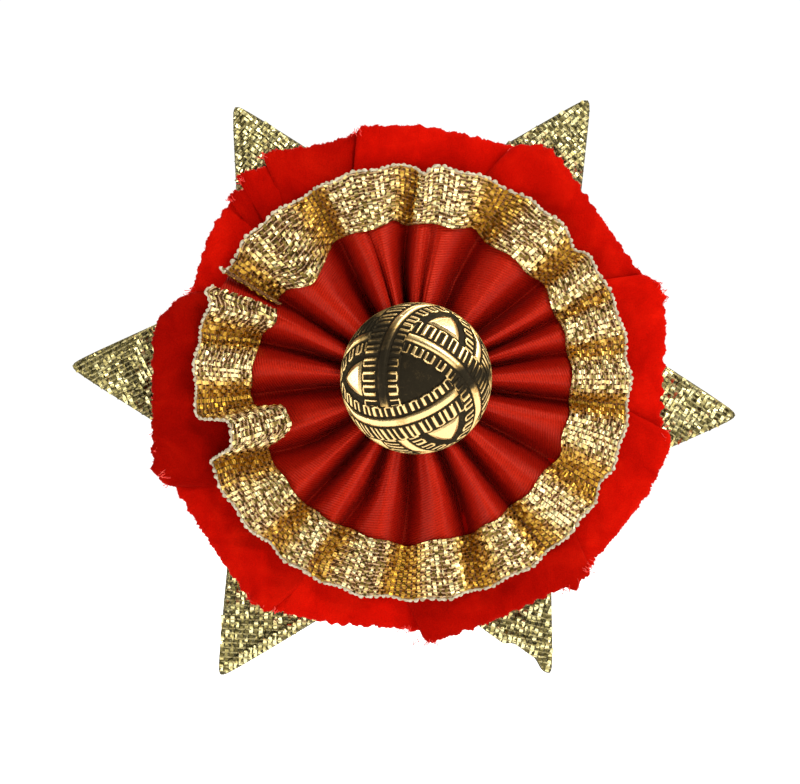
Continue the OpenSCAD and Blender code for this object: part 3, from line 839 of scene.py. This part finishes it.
# Frayed places: angle, radius, spread in degrees, number of threads, and length.
FRAYS = [(21, 40.9, 3.5, 15, 1.5), (-11, 40.3, 2.0, 8, 1.1), (-47, 39.6, 2.0, 11, 1.4),
         (-52, 39.9, 2.5, 8, 1.4), (-87, 39.9, 1.6, 14, 1.6), (-122, 41.2, 1.6, 9, 1.1),
         (-159, 41.0, 2.6, 15, 1.5), (-166, 40.8, 3.0, 10, 1.1), (123.4, 42.2, 0.7, 7, 0.8),
         (130, 41.4, 0.7, 7, 0.8), (134.4, 40.2, 0.7, 7, 0.8), (158, 37.6, 1.8, 10, 1.2),
         (61, 41.4, 2.0, 6, 0.8), (102, 39.9, 1.5, 8, 0.8), (-91.5, 38.4, 1.6, 7, 1.3)]


def frayed_thread(rng, deg, radius, size):
    """One loose thread that bows outwards and swings to a side."""
    base = place(radius, deg, VELVET_FRONT + rng.uniform(0.3, 1.2))
    out = place(1.0, deg, 0.0, mid=(0.0, 0.0))
    sideways = np.array([-out[2], 0, out[0]])
    span = size * rng.uniform(0.35, 1.0)
    swing = rng.uniform(0.3, 1.5) * span * rng.choice([-1, 1])
    curl_back = rng.uniform(0.2, 1.0) if rng.random() < 0.6 else 0.0
    t = np.linspace(0, 1, 9)[:, None]
    return (base + out * span * np.sin(math.pi * t * (0.5 + 0.45 * curl_back))
            + sideways * swing * t ** 1.2 * (1 + 0.4 * np.sin(5 * t))
            + np.array([0, 1.0, 0]) * 0.4 * rng.normal() * t)


def build_frays():
    rng = np.random.default_rng(32)
    paths = []
    for at_deg, at_r, spread, count, size in FRAYS:
        for _ in range(count):
            deg = at_deg + rng.normal(0, spread * 0.55)
            radius = at_r - rng.uniform(0.4, 1.2)
            paths.append(frayed_thread(rng, deg, radius, size))
    verts, faces = tubes(np.array(paths), 0.05, sides=4, ref=(0.1, 1.0, 0.15))
    mesh_piece("velvet_frayed_threads", verts, faces, FIBRE, "red_velvet")


build_fuzz(build_velvet())
build_frays()

# ---------------------------------------------------------------- star points

# Tip angle and radius from the star's own middle, apex angle, weave direction from the point's axis,
# how far the tip bends forwards, the painted light on its foil (painted shade below 0), how far one
# side is folded in near the tip, and its turned-over strips: side, start, width and height.
STARS = [(56.9, 53.1, 53.5, 18, 0.25, 0.08, 0.0, []),
         (-4.6, 52.0, 56.5, -62, -0.1, 0.03, 0.0, [(-1, 0.0, 1.5, 0.22)]),
         (-62.3, 49.7, 53, 40, 0.2, 0.0, 1.1,
          [(-1, 0.0, 2.3, 0.42), (-1, 3.4, 2.2, 0.34), (1, 0.0, 1.2, 0.2)]),
         (-122.1, 52.3, 53.5, -30, -0.2, -0.10, 0.0, [(1, 0.0, 2.1, 0.48)]),
         (176.1, 50.8, 56.5, 58, 0.15, -0.20, 0.0, []),
         (120.4, 50.4, 54.5, -22, -0.15, 0.08, 0.0, [(1, 0.0, 1.3, 0.2)])]
STAR_AT = HEART + np.array([-1.8, -0.8])     # the star's own middle
STAR_MID = (STAR_FRONT + STAR_BACK) / 2
STAR_THICK = STAR_BACK - STAR_FRONT
STAR_LONG = 27.0
STAR_WIDE = 12.3
STAR_RING = 64             # vertices round a point
WEAVE_PITCH = 0.74


class StarPoint:
    """A ribbon folded to a tip: a flat pocket whose two faces meet along both slanting sides."""

    def __init__(self, number, angle, tip, apex, direction, bend, tone, cut, strips):
        self.out, self.left = directions(angle)
        self.tip = STAR_AT + (tip + 0.15) * self.out
        self.slope = math.tan(math.radians(apex / 2))
        self.direction = direction
        self.bend = bend
        self.tone = tone
        self.cut = cut
        self.strips = strips
        self.seed = 400 + number

    def painted_light_shift(self, q, x, face):
        """Painted light and shade: the star's own painted brightness, a painted highlight on the
        turned-over strips and painted shade in the crease beside them.
        """
        shift = np.full(np.broadcast(q, x).shape, self.tone)
        for side, start, width, high in self.strips:
            inwards = self.half(q, x) - side * x - start
            on = (inwards > 0) & (inwards < width - 0.1)
            crease = np.abs(inwards - width - 0.15) < 0.36
            shift = shift + (0.22 * on - 0.9 * crease) * (face < 0)
        return shift

    def half(self, q, x):
        """Half width at q, on the side that x is on."""
        w = np.sqrt(np.maximum(q * (q + 2.6), 0.0)) * self.slope
        near_tip = smoothstep(q, 0.5, 3.5) * (1 - smoothstep(q, 6.6, 7.4))
        return np.minimum(w - self.cut * smoothstep(-x, 0.0, 0.3) * near_tip, STAR_WIDE)

    def point(self, q, x, face):
        """Face is -1 at the front and 1 at the back, q the way back from the tip, x across."""
        w = np.maximum(self.half(q, x), 1e-3)
        bulge = np.clip(1 - (x / w) ** 2, 0, 1) ** 0.32
        thick = 0.28 + (STAR_THICK - 0.35) * smoothstep(q, 0, 13)
        flat = np.stack(np.broadcast_arrays(q, x), -1)
        crumple = 0.10 * ripple(flat, 6.5, self.seed) + 0.05 * ripple(flat, 2.8, self.seed + 50)
        y = (STAR_MID + face * 0.5 * thick * bulge + crumple * smoothstep(q, 0, 4) * (0.4 + 0.6 * bulge)
             - self.bend * (1 - smoothstep(q, 0, 9)))
        for side, start, width, high in self.strips:
            inwards = w - side * x - start
            strip = smoothstep(inwards, -0.1, 0.3) * (1 - smoothstep(inwards, width - 0.25, width))
            y = y - (face < 0) * high * strip * smoothstep(q, 0.5, 3)
        return upright(self.tip - q[..., None] * self.out + x[..., None] * self.left, y)

    def pocket(self, number):
        """The folded ground cloth, open at its hidden end."""
        back = np.concatenate([np.linspace(0, 1.2, 6)[:-1], np.linspace(1.2, STAR_LONG, 60)])
        q, turn = np.meshgrid(back, np.linspace(0, TAU, STAR_RING, endpoint=False), indexing="ij")
        x = self.half(q, np.cos(turn)) * np.cos(turn)
        face = np.where(np.sin(turn) >= 0, -1.0, 1.0)
        return mesh_piece(f"star_fold_{number}", self.point(q, x, face),
                          grid_faces(len(back), STAR_RING, close_cols=True), STAR_NET, "gold_lame",
                          uv=np.stack([np.where(face < 0, x, 60 - x), q], -1))

    def weave(self, foil):
        """Foil strips or the threads across them, on both faces, over and under each other."""
        along, cross = directions(self.direction + (0 if foil else 90))
        sub = 4 if foil else 3             # mesh steps from one crossing to the next
        count = int(2 * STAR_LONG / WEAVE_PITCH)
        strip, step = np.meshgrid(np.arange(-count // 2, count // 2),
                                  np.arange(-count * sub // 2, count * sub // 2), indexing="ij")
        flat = (np.array([STAR_LONG / 2, 0.0]) + (strip * WEAVE_PITCH)[..., None] * cross
                + (step * WEAVE_PITCH / sub)[..., None] * along)
        q, x = flat[..., 0], flat[..., 1]
        rng = np.random.default_rng(self.seed + 100 + int(foil))
        parts = []
        base = 0
        for face in (-1.0, 1.0):
            reach = 17 if face < 0 else STAR_LONG - 1
            inside = (q > 0.35) & (q < reach) & (np.abs(x) < self.half(q, x) - 0.12)
            here = self.point(q, x, face)
            near = 0.05
            ahead = self.point(q + near * along[0], x + near * along[1], face) - here
            beside = self.point(q + near * cross[0], x + near * cross[1], face) - here
            normal = unit(np.cross(ahead, beside))
            normal = normal * np.sign(normal[..., 1:2] * face)
            beside = unit(beside)
            wave = np.cos(math.pi * (step / sub + 0.5 + strip + (0 if foil else 1)))[..., None]
            if foil:
                cell = np.stack([strip * 2.3, step / sub * 2.3], -1)
                roll = rng.normal(0, 0.25, (len(strip), 1)) + 0.45 * ripple(cell, 6.0, self.seed + 7)
                points = foil_strips(here + normal * (0.08 * wave + 0.10), beside, normal, roll, 0.29)
                cell = np.stack([strip * 2.3, step / sub * 1.0], -1)
                # Painted light: the foil cells' tone paints glints and dark reflections on them, plus the
                # star's painted light and shade.
                tone = 0.5 + 0.36 * ripple(cell, 2.4, self.seed + 9) + self.painted_light_shift(q, x, face)
            else:
                points = thread_ridges(here + normal * (0.07 * wave + 0.11), beside, normal, 0.13, 0.05)
                tone = np.zeros(strip.shape)
            rows, across = points.shape[1:3]
            quads = repeated(grid_faces(rows, across), len(points), rows * across)
            good = np.repeat(inside.ravel(), across)
            verts, quads, tone = used_only(points.reshape(-1, 3), quads[good[quads].all(axis=1)],
                                           np.repeat(np.clip(tone, 0, 1).ravel(), across))
            parts.append((verts, quads + base, tone))
            base += len(verts)
        return [np.concatenate(arrays) for arrays in zip(*parts)]


for i, row in enumerate(STARS, start=1):
    star = StarPoint(i, *row)
    pocket = star.pocket(i)
    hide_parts(f"star_point_{i}")
    verts, quads, tone = star.weave(foil=True)
    strips = mesh_piece(f"star_foil_{i}", verts, quads, STAR_FOIL, "gold_lame", layers={"tone": tone},
                        smooth=False)
    verts, quads, _ = star.weave(foil=False)
    threads = mesh_piece(f"star_threads_{i}", verts, quads, STAR_WARP, "gold_lame")

# ---------------------------------------------------------------- the button

DOME_SHARE = 0.78          # share of the pattern's angle that the flatter dome shows
CORD, GROOVE, HATCH_IN, HATCH_OUT = 4.8, 6.8, 17.5, 23.0     # half widths of a strap's parts, in degrees
BAR_PITCH = FULL / 54
STRAP_TILT = math.acos(1 / math.sqrt(3))
# Strap 0 crosses over strap 2, strap 2 over strap 1, and strap 1 over strap 0.
CROSSINGS = [(0, 2), (2, 1), (1, 0)]
# Patches of darker colour, in button radii: place, width and strength. Some are real patina; those along
# the left cord and towards the upper left are a painted dark reflection.
PATINA_AND_REFLECTION_PATCHES = [(0.64, 0.0, 0.16, 1.5), (-0.38, 0.45, 0.28, 0.8), (-0.60, 0.72, 0.18, 0.8),
          (0.92, 0.05, 0.12, 0.8), (-0.40, 0.26, 0.09, 1.0), (-0.435, 0.10, 0.09, 1.2),
          (-0.445, -0.05, 0.085, 1.1), (-0.445, -0.19, 0.085, 1.0), (-0.43, -0.31, 0.08, 0.6),
          (0.25, 0.22, 0.12, 0.25), (-0.2, -0.52, 0.12, 0.25), (0.55, -0.28, 0.07, 0.4)]
DOME_TURNS, DOME_RINGS = 480, 170
DOME_REACH = 0.985         # how far out the dome goes before the rim turns down, in button radii
# The rim: over the edge, back along the side, round the rolled back edge and in to the back plate, as
# radius in button radii, how far in front of the rim's line it is, and how dark it is.
RIM = [(0.994, 0.02, 0.5), (1.0, -0.25, 0.25), (1.0, -0.85, 0.3), (0.99, -1.15, 0.4), (0.965, -1.28, 0.5),
       (0.93, -1.22, 0.6), (0.915, -1.05, 0.8), (0.915, -0.95, 0.9)]
RIM_DEEP = 1.3             # how far in front of the button's back the rim's line lies


def strap_axes():
    """The normals of the three great circles that the straps follow."""
    turns = np.radians([0.0, 120.0, 240.0])
    return [np.array([math.sin(STRAP_TILT) * math.cos(a), math.sin(STRAP_TILT) * math.sin(a),
                      math.cos(STRAP_TILT)]) for a in turns]


def strap_relief(d, along):
    """Height, recess and footprint of one strap, d degrees from its middle line, less than 0 outwards."""
    hatch = np.where(d > 0, HATCH_IN, HATCH_OUT)
    d = np.abs(d)
    cord = np.sqrt(np.clip(1 - (d / CORD) ** 2, 0, 1))
    # Raised bars, joined in pairs at their outer ends like hairpins.
    count = along / BAR_PITCH
    count = count + 0.10 * np.sin(count * 2.4 + 1.0) + 0.05 * np.sin(count * 5.1)
    bar = smoothstep(0.5 + 0.5 * np.cos(TAU * count), 0.30, 0.92)
    even = (np.floor(count) % 2 == 0)
    bar = np.maximum(bar, even * smoothstep(d, hatch - 2.6, hatch - 1.2))
    # Round the bars' ends.
    across = (count - np.floor(count) - 0.5) * 2
    end = hatch - np.where(even, 0.9 * across ** 2, 1.0)
    in_hatch = smoothstep(d, GROOVE - 0.2, GROOVE + 0.5) * (1 - smoothstep(d, end - 0.4, end + 0.2))
    height = 0.12 + 0.40 * cord + in_hatch * 0.24 * bar
    patina_and_shade = np.clip(1 - (cord * 1.6 + in_hatch * bar * 1.15), 0, 1)
    return height, patina_and_shade, d < hatch


def button_relief(theta, phi):
    """Height in mm and recess, 0 to 1, at pattern angle theta from the dome's top and turn phi."""
    p = np.stack([np.sin(theta) * np.cos(phi), np.sin(theta) * np.sin(phi), np.cos(theta)], -1)
    axes = strap_axes()
    straps = []
    inwards = np.inf
    for k, axis in enumerate(axes):
        d = np.degrees(np.arcsin(np.clip(p @ axis, -1, 1)))
        along = np.degrees(np.arctan2(p @ axes[(k + 2) % 3], p @ axes[(k + 1) % 3]))
        straps.append(strap_relief(d, along))
        inwards = np.minimum(inwards, np.abs(d) - HATCH_OUT)
    # Plain ground between the straps: the middle triangle is sunk, the outer facets stand up.
    centre = theta < math.radians(38)
    height = np.where(centre, -0.10, 0.02 + 0.07 * np.clip(inwards, 0, 5))
    patina_and_shade = np.where(centre, 0.97, 0.95 - 0.95 * smoothstep(inwards, 0.7, 2.6))
    for high, deep, on in straps:
        height = np.where(on, high, height)
        patina_and_shade = np.where(on, deep, patina_and_shade)
    for over, under in CROSSINGS:
        high, deep, on = straps[over]
        crossing = on & straps[under][2] & ~straps[3 - over - under][2]
        height = np.where(crossing, high + 0.05, height)
        patina_and_shade = np.where(crossing, deep, patina_and_shade)
    # Darker patches, partly real patina and partly a painted dark reflection, and darker towards the rim.
    x = np.sin(theta * DOME_SHARE) * np.cos(phi)
    z = np.sin(theta * DOME_SHARE) * np.sin(phi)
    for at_x, at_z, wide, dark in PATINA_AND_REFLECTION_PATCHES:
        far = np.hypot(x - at_x, z - at_z) / wide
        patina_and_shade = patina_and_shade + dark * np.exp(-far ** 2)
    patina_and_shade = patina_and_shade + 0.5 * smoothstep(theta, math.radians(100), math.radians(112))
    return height, np.clip(patina_and_shade, 0, 1)


def build_button():
    """The button's shell: a domed face with the strap relief, and a rolled rim."""
    turn = np.linspace(0, TAU, DOME_TURNS, endpoint=False)
    ring_r = BUTTON_R * DOME_REACH * np.sin(np.linspace(0.002, 1.0, DOME_RINGS) * math.pi / 2)
    rim_y = BUTTON_BACK - RIM_DEEP
    dome_h = rim_y - DOME_TOP
    curve_r = (BUTTON_R ** 2 + dome_h ** 2) / (2 * dome_h)
    ring_y = rim_y - dome_h + curve_r - np.sqrt(np.maximum(curve_r ** 2 - ring_r ** 2, 0))
    pattern = np.arcsin(np.clip(ring_r / BUTTON_R, 0, 0.999)) / DOME_SHARE
    relief, patina_and_shade = button_relief(*np.meshgrid(pattern, turn, indexing="ij"))
    relief = (relief - 0.3) * (1 - smoothstep(ring_r, BUTTON_R * 0.93, BUTTON_R * DOME_REACH))[:, None]
    # One pass of smoothing with the neighbours round the ring and the rings beside it.
    beside = np.roll(relief, 1, 1) + np.roll(relief, -1, 1)
    inner = np.vstack([relief[:1], relief[:-1]])
    outer = np.vstack([relief[1:], relief[-1:]])
    relief = 0.5 * relief + 0.125 * beside + 0.125 * (inner + outer)
    out_r = ring_r[:, None] * (1 + relief / curve_r)
    out_y = ring_y[:, None] - relief * (curve_r - (ring_y - (rim_y - dome_h)))[:, None] / curve_r
    turn_deg = np.degrees(turn)
    dome = place(out_r, turn_deg[None, :], out_y + 0.2, BUTTON_MID)
    rim = [place(BUTTON_R * share, turn_deg, rim_y - ahead, BUTTON_MID) for share, ahead, _ in RIM]
    rings = np.concatenate([dome, np.array(rim)])
    dark = np.concatenate([patina_and_shade, np.repeat([[row[2]] for row in RIM], DOME_TURNS, axis=1)])
    top = np.array([[BUTTON_MID[0], dome[0, :, 1].mean(), BUTTON_MID[1]]])
    faces = [grid_faces(len(rings), DOME_TURNS, close_cols=True, flip=True),
             fan(np.arange(DOME_TURNS), len(rings) * DOME_TURNS)]
    button = mesh_piece("button_dome", np.concatenate([rings.reshape(-1, 3), top]), faces, BRASS,
                        "button_brass", "button", layers={"patina_and_shade": np.append(dark, dark[0].mean())})
    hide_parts("button_face")


build_button()

# ---------------------------------------------------------------- backing


def disc_piece(name, node_name, mat, slot, fuzz, seed):
    """A cloth disc of the node's size with a soft edge and an uneven surface."""
    low, high = node_box(node_name)
    mid = (low + high) / 2
    radius = node_radius(node_name)
    thick = high[1] - low[1]
    share = np.concatenate([np.linspace(0.002, 0.95, 60), np.linspace(0.96, 1.0, 8)])
    turn = np.radians(np.linspace(0, FULL, 220, endpoint=False))
    share, a = np.meshgrid(share, turn, indexing="ij")
    uneven = 1 + 0.004 * ripple(np.stack([np.cos(a) * 3, np.sin(a) * 3], -1), 1.2, seed)
    r = radius * share * uneven
    flat = np.stack([mid[0] + r * np.cos(a), mid[2] + r * np.sin(a)], -1)
    near = np.clip((share * radius - (radius - 0.5)) / 0.5, 0, 1)
    half = 0.5 * thick * np.sqrt(np.clip(1 - near ** 2, 0.02, 1))
    texture = fuzz * ripple(flat, 1.6, seed + 1, 24) + 0.6 * fuzz * ripple(flat, 5.0, seed + 2)
    texture = texture * (half > 0.2)
    back = upright(flat, mid[1] + half + texture)
    front = upright(flat, mid[1] - half + texture)
    points = np.concatenate([back, front[::-1]])
    rings, n = points.shape[:2]
    middles = mid + np.array([[0, thick / 2, 0], [0, -thick / 2, 0]])
    j = np.arange(n)
    caps = np.concatenate([fan(j, rings * n)[:, [1, 0, 2]], fan(j + (rings - 1) * n, rings * n + 1)])
    aside = np.array([80, 0])
    centre = mid[[0, 2]]
    uv = np.concatenate([flat.reshape(-1, 2), (flat[::-1] + aside).reshape(-1, 2),
                         [centre, centre + aside]])
    ob = mesh_piece(name, np.concatenate([points.reshape(-1, 3), middles]),
                    [grid_faces(rings, n, close_cols=True), caps], mat, slot, uv=uv)
    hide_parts(node_name)
    return ob


felt = disc_piece("felt_cover", "felt_backing", FELT, "backing_felt", 0.035, 500)
canvas = disc_piece("foundation_cloth_disc", "foundation_disc", CANVAS, "foundation_cloth", 0.015, 510)


def sewing_thread(path, radius, ref=(0.0, 1.0, 0.0), pitch=0.8):
    return tubes(path[None], radius, sides=8, pitch=pitch, ref=ref)


FELT_R = node_radius("felt_backing")
FELT_BACK = node_depth("felt_backing")[1]
EDGE_STITCHES = 64


def build_edge_stitches(rng):
    """Blanket stitch round the felt: one thread along its edge and a leg inwards at each stitch."""
    deg = np.linspace(0, FULL, EDGE_STITCHES * 14 + 1)
    sag = 0.16 * np.abs(np.sin(np.radians(deg) * EDGE_STITCHES / 2))
    edge = place(FELT_R + 0.12 - sag, deg, FELT_BACK - 0.30 + 0.1 * np.sin(np.radians(deg) * 7))
    parts = [sewing_thread(edge, 0.2, pitch=0.9)]
    for k in range(EDGE_STITCHES):
        deg = FULL * k / EDGE_STITCHES + rng.normal(0, 0.35)
        inner = rng.normal(0, 0.12) - 2.3
        slant = rng.normal(0, 0.5)
        r = FELT_R + np.array([0.1, -0.05, -0.45, -1.2, inner + 0.25, inner, inner - 0.02])
        y = FELT_BACK + np.array([-0.25, 0.0, 0.14, 0.17, 0.14, 0.0, -0.25])
        leg = resampled(place(r, deg + slant * np.linspace(0, 1, r.size), y), 22)
        parts.append(sewing_thread(leg, 0.17, ref=(0.02, 1.0, 0.03)))
    mesh_piece("felt_edge_stitches", *joined(parts), THREAD, "sewing_thread")


BAR_MID_X = node_middle("pin_bar")[0]
BAR_HOLES = [(-10.0, -7.0), (5.0, 8.0)]      # pairs, from the bar's middle
# A strand's way up one hole, over the bar and down the other: its height above the bar, and its share of
# the way out to its own side.
STRAND_RISE = np.array([-2.4, -0.8, -0.12, 0, 0.03, 0, -0.12, -0.8, -2.4])
STRAND_SIDE = np.array([0.5, 0.8, 0.9, 1, 1, 1, 0.9, 0.8, 0.5])


def build_bar_stitches(rng):
    """The threads that sew the bar on: three strands down each pair of holes, over the bar between them."""
    strand_y = node_depth("bar_stitches")[1] - 0.24
    parts = []
    for x0, x1 in BAR_HOLES:
        for strand in (-1, 0, 1):
            x = BAR_MID_X + np.array([x0, x0, x0 + 0.12, x0 + 0.5, (x0 + x1) / 2,
                                      x1 - 0.5, x1 - 0.12, x1, x1])
            y = strand_y + 0.06 * (1 - abs(strand)) + STRAND_RISE
            z = 0.22 * strand * STRAND_SIDE + 0.05 * rng.normal(size=x.size)
            path = smoothed(resampled(np.stack([x, y, z], -1), 60), 4)
            parts.append(sewing_thread(path, 0.16, ref=(0.0, 0.0, 1.0)))
    stitches = mesh_piece("bar_sewing_threads", *joined(parts), THREAD, "sewing_thread")
    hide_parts("bar_stitches")


GATHER_STITCHES = 20


def build_gathering_stitch():
    """The drawn-up thread that holds the ribbons' inner edges, as a running stitch."""
    deg = np.linspace(0, FULL, GATHER_STITCHES * 12 + 1)
    beat = np.radians(deg) * GATHER_STITCHES
    middle_y = sum(node_depth("gathering_thread")) / 2
    radius = node_radius("gathering_thread") - 0.3 + 0.12 * np.sin(beat)
    path = place(radius, deg, middle_y + 0.25 * np.cos(beat))
    gather = mesh_piece("gathering_stitch", *sewing_thread(path, 0.26, pitch=1.0), THREAD, "sewing_thread")
    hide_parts("gathering_thread")


rng = np.random.default_rng(41)
build_edge_stitches(rng)
build_bar_stitches(rng)
build_gathering_stitch()

# CAD pieces that keep their shape.
CAD_MATERIALS = {
    "button_back_plate": BRASS, "button_shank": BRASS, "button_thread": THREAD, "pin_bar": NICKEL,
    "hinge_rivet": NICKEL, "catch_housing": NICKEL, "pin_stem": STEEL, "safety_lock": LOCK,
}
for name, mat in CAD_MATERIALS.items():
    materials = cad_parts[name].data.materials
    materials.clear()
    materials.append(mat)

# ---------------------------------------------------------------- floor, light and camera

scene = bpy.context.scene
FLOOR_Z, FLOOR_HALF = -0.078, 60.0           # metres


def build_floor():
    m = Finish("floor", Roughness=0.9, Base_Color=(0.95, 0.95, 0.95, 1.0),
               Emission_Color=(1.0, 1.0, 1.0, 1.0), Emission_Strength=0.45)
    mesh = bpy.data.meshes.new("floor")
    corners = [(x * FLOOR_HALF, y * FLOOR_HALF, FLOOR_Z) for x, y in ((-1, -1), (1, -1), (1, 1), (-1, 1))]
    mesh.from_pydata(corners, [], [(0, 1, 2, 3)])
    mesh.materials.append(m.material)
    floor = bpy.data.objects.new("floor", mesh)
    scene.collection.objects.link(floor)


# Bright and dark areas of the studio: direction, width in degrees and strength.
BRIGHT = [((1.0, -0.35, 0.35), 48, 1.1), ((0.15, -0.3, -1.0), 55, 0.5), ((-1.0, -0.35, -0.45), 40, 0.8),
          ((-0.2, 0.2, 1.0), 50, 0.9), ((0.35, -0.75, 0.65), 22, 1.2)]
DARK = [((0.05, -1, 0.0), 50), ((-0.47, -0.42, 0.77), 44)]
ROOM_LIGHT, SHADE, BACKDROP = 0.40, 0.93, 1.05


def build_world():
    world = bpy.data.worlds.new("studio")
    scene.world = world
    world.use_nodes = True
    n = Nodes(world.node_tree)
    place_in_sky = n.add("TexCoord", out="Generated")

    def toward(direction, width):
        """1 where the world lies in a direction, falling to 0 at width degrees from it."""
        heading = tuple(unit(np.array(direction, float)))
        dot = n.add("VectorMath", {0: place_in_sky, 1: heading}, out="Value", operation="DOT_PRODUCT")
        return n.add("MapRange", {"Value": dot, "From Min": math.cos(math.radians(width)),
                                  "From Max": math.cos(math.radians(width * 0.35))},
                     out="Result", interpolation_type="SMOOTHSTEP")

    dark = n.calc("MAXIMUM", *[toward(*row) for row in DARK])
    level = ROOM_LIGHT
    for direction, width, strength in BRIGHT:
        level = n.plus(level, toward(direction, width), strength)
    lit = n.calc("MULTIPLY", level, n.calc("SUBTRACT", 1.0, n.calc("MULTIPLY", dark, SHADE)))
    seen = n.add("LightPath", out="Is Camera Ray")
    shown = n.add("Mix", {0: seen, 2: lit, 3: BACKDROP}, data_type="FLOAT")
    background = world.node_tree.nodes["Background"]
    n.feed(background.inputs["Strength"], shown)
    background.inputs["Color"].default_value = (1, 1, 1, 1)


FRAME_WIDE, FRAME_AT_Y = 122.7, -12.0        # the width the picture covers, and where along y


def area_light(name, at, size, power):
    """A round lamp in metres that faces the rosette."""
    lamp = bpy.data.lights.new(name, "AREA")
    lamp.shape = "DISK"
    lamp.size = size
    lamp.energy = power
    ob = bpy.data.objects.new(name, lamp)
    ob.location = at
    aim = unit(upright(HEART, FRAME_AT_Y) * MM - np.array(at))
    ob.rotation_euler = (math.pi / 2 + math.asin(aim[2]), 0, -math.atan2(aim[0], aim[1]))
    scene.collection.objects.link(ob)


AIM = HEART + np.array([-1.84, -1.38])       # what the camera looks straight at


def build_camera():
    lens = bpy.data.cameras.new("camera")
    lens.lens = 150
    lens.sensor_width = 36
    camera = bpy.data.objects.new("camera", lens)
    distance = FRAME_WIDE * lens.lens / lens.sensor_width
    camera.location = (AIM[0] * MM, (FRAME_AT_Y - distance) * MM, AIM[1] * MM)
    camera.rotation_euler = (math.pi / 2, 0, 0)
    scene.collection.objects.link(camera)
    scene.camera = camera
    scene.view_settings.view_transform = "Standard"


build_floor()
build_world()
area_light("key", (0.45, -0.55, 0.55), 0.30, 4.5)
area_light("fill", (-0.6, -0.35, -0.02), 0.35, 1.6)
area_light("top", (0.05, 0.1, 0.8), 0.5, 2.5)
area_light("back", (-0.3, 0.8, 0.5), 0.5, 4.0)
build_camera()
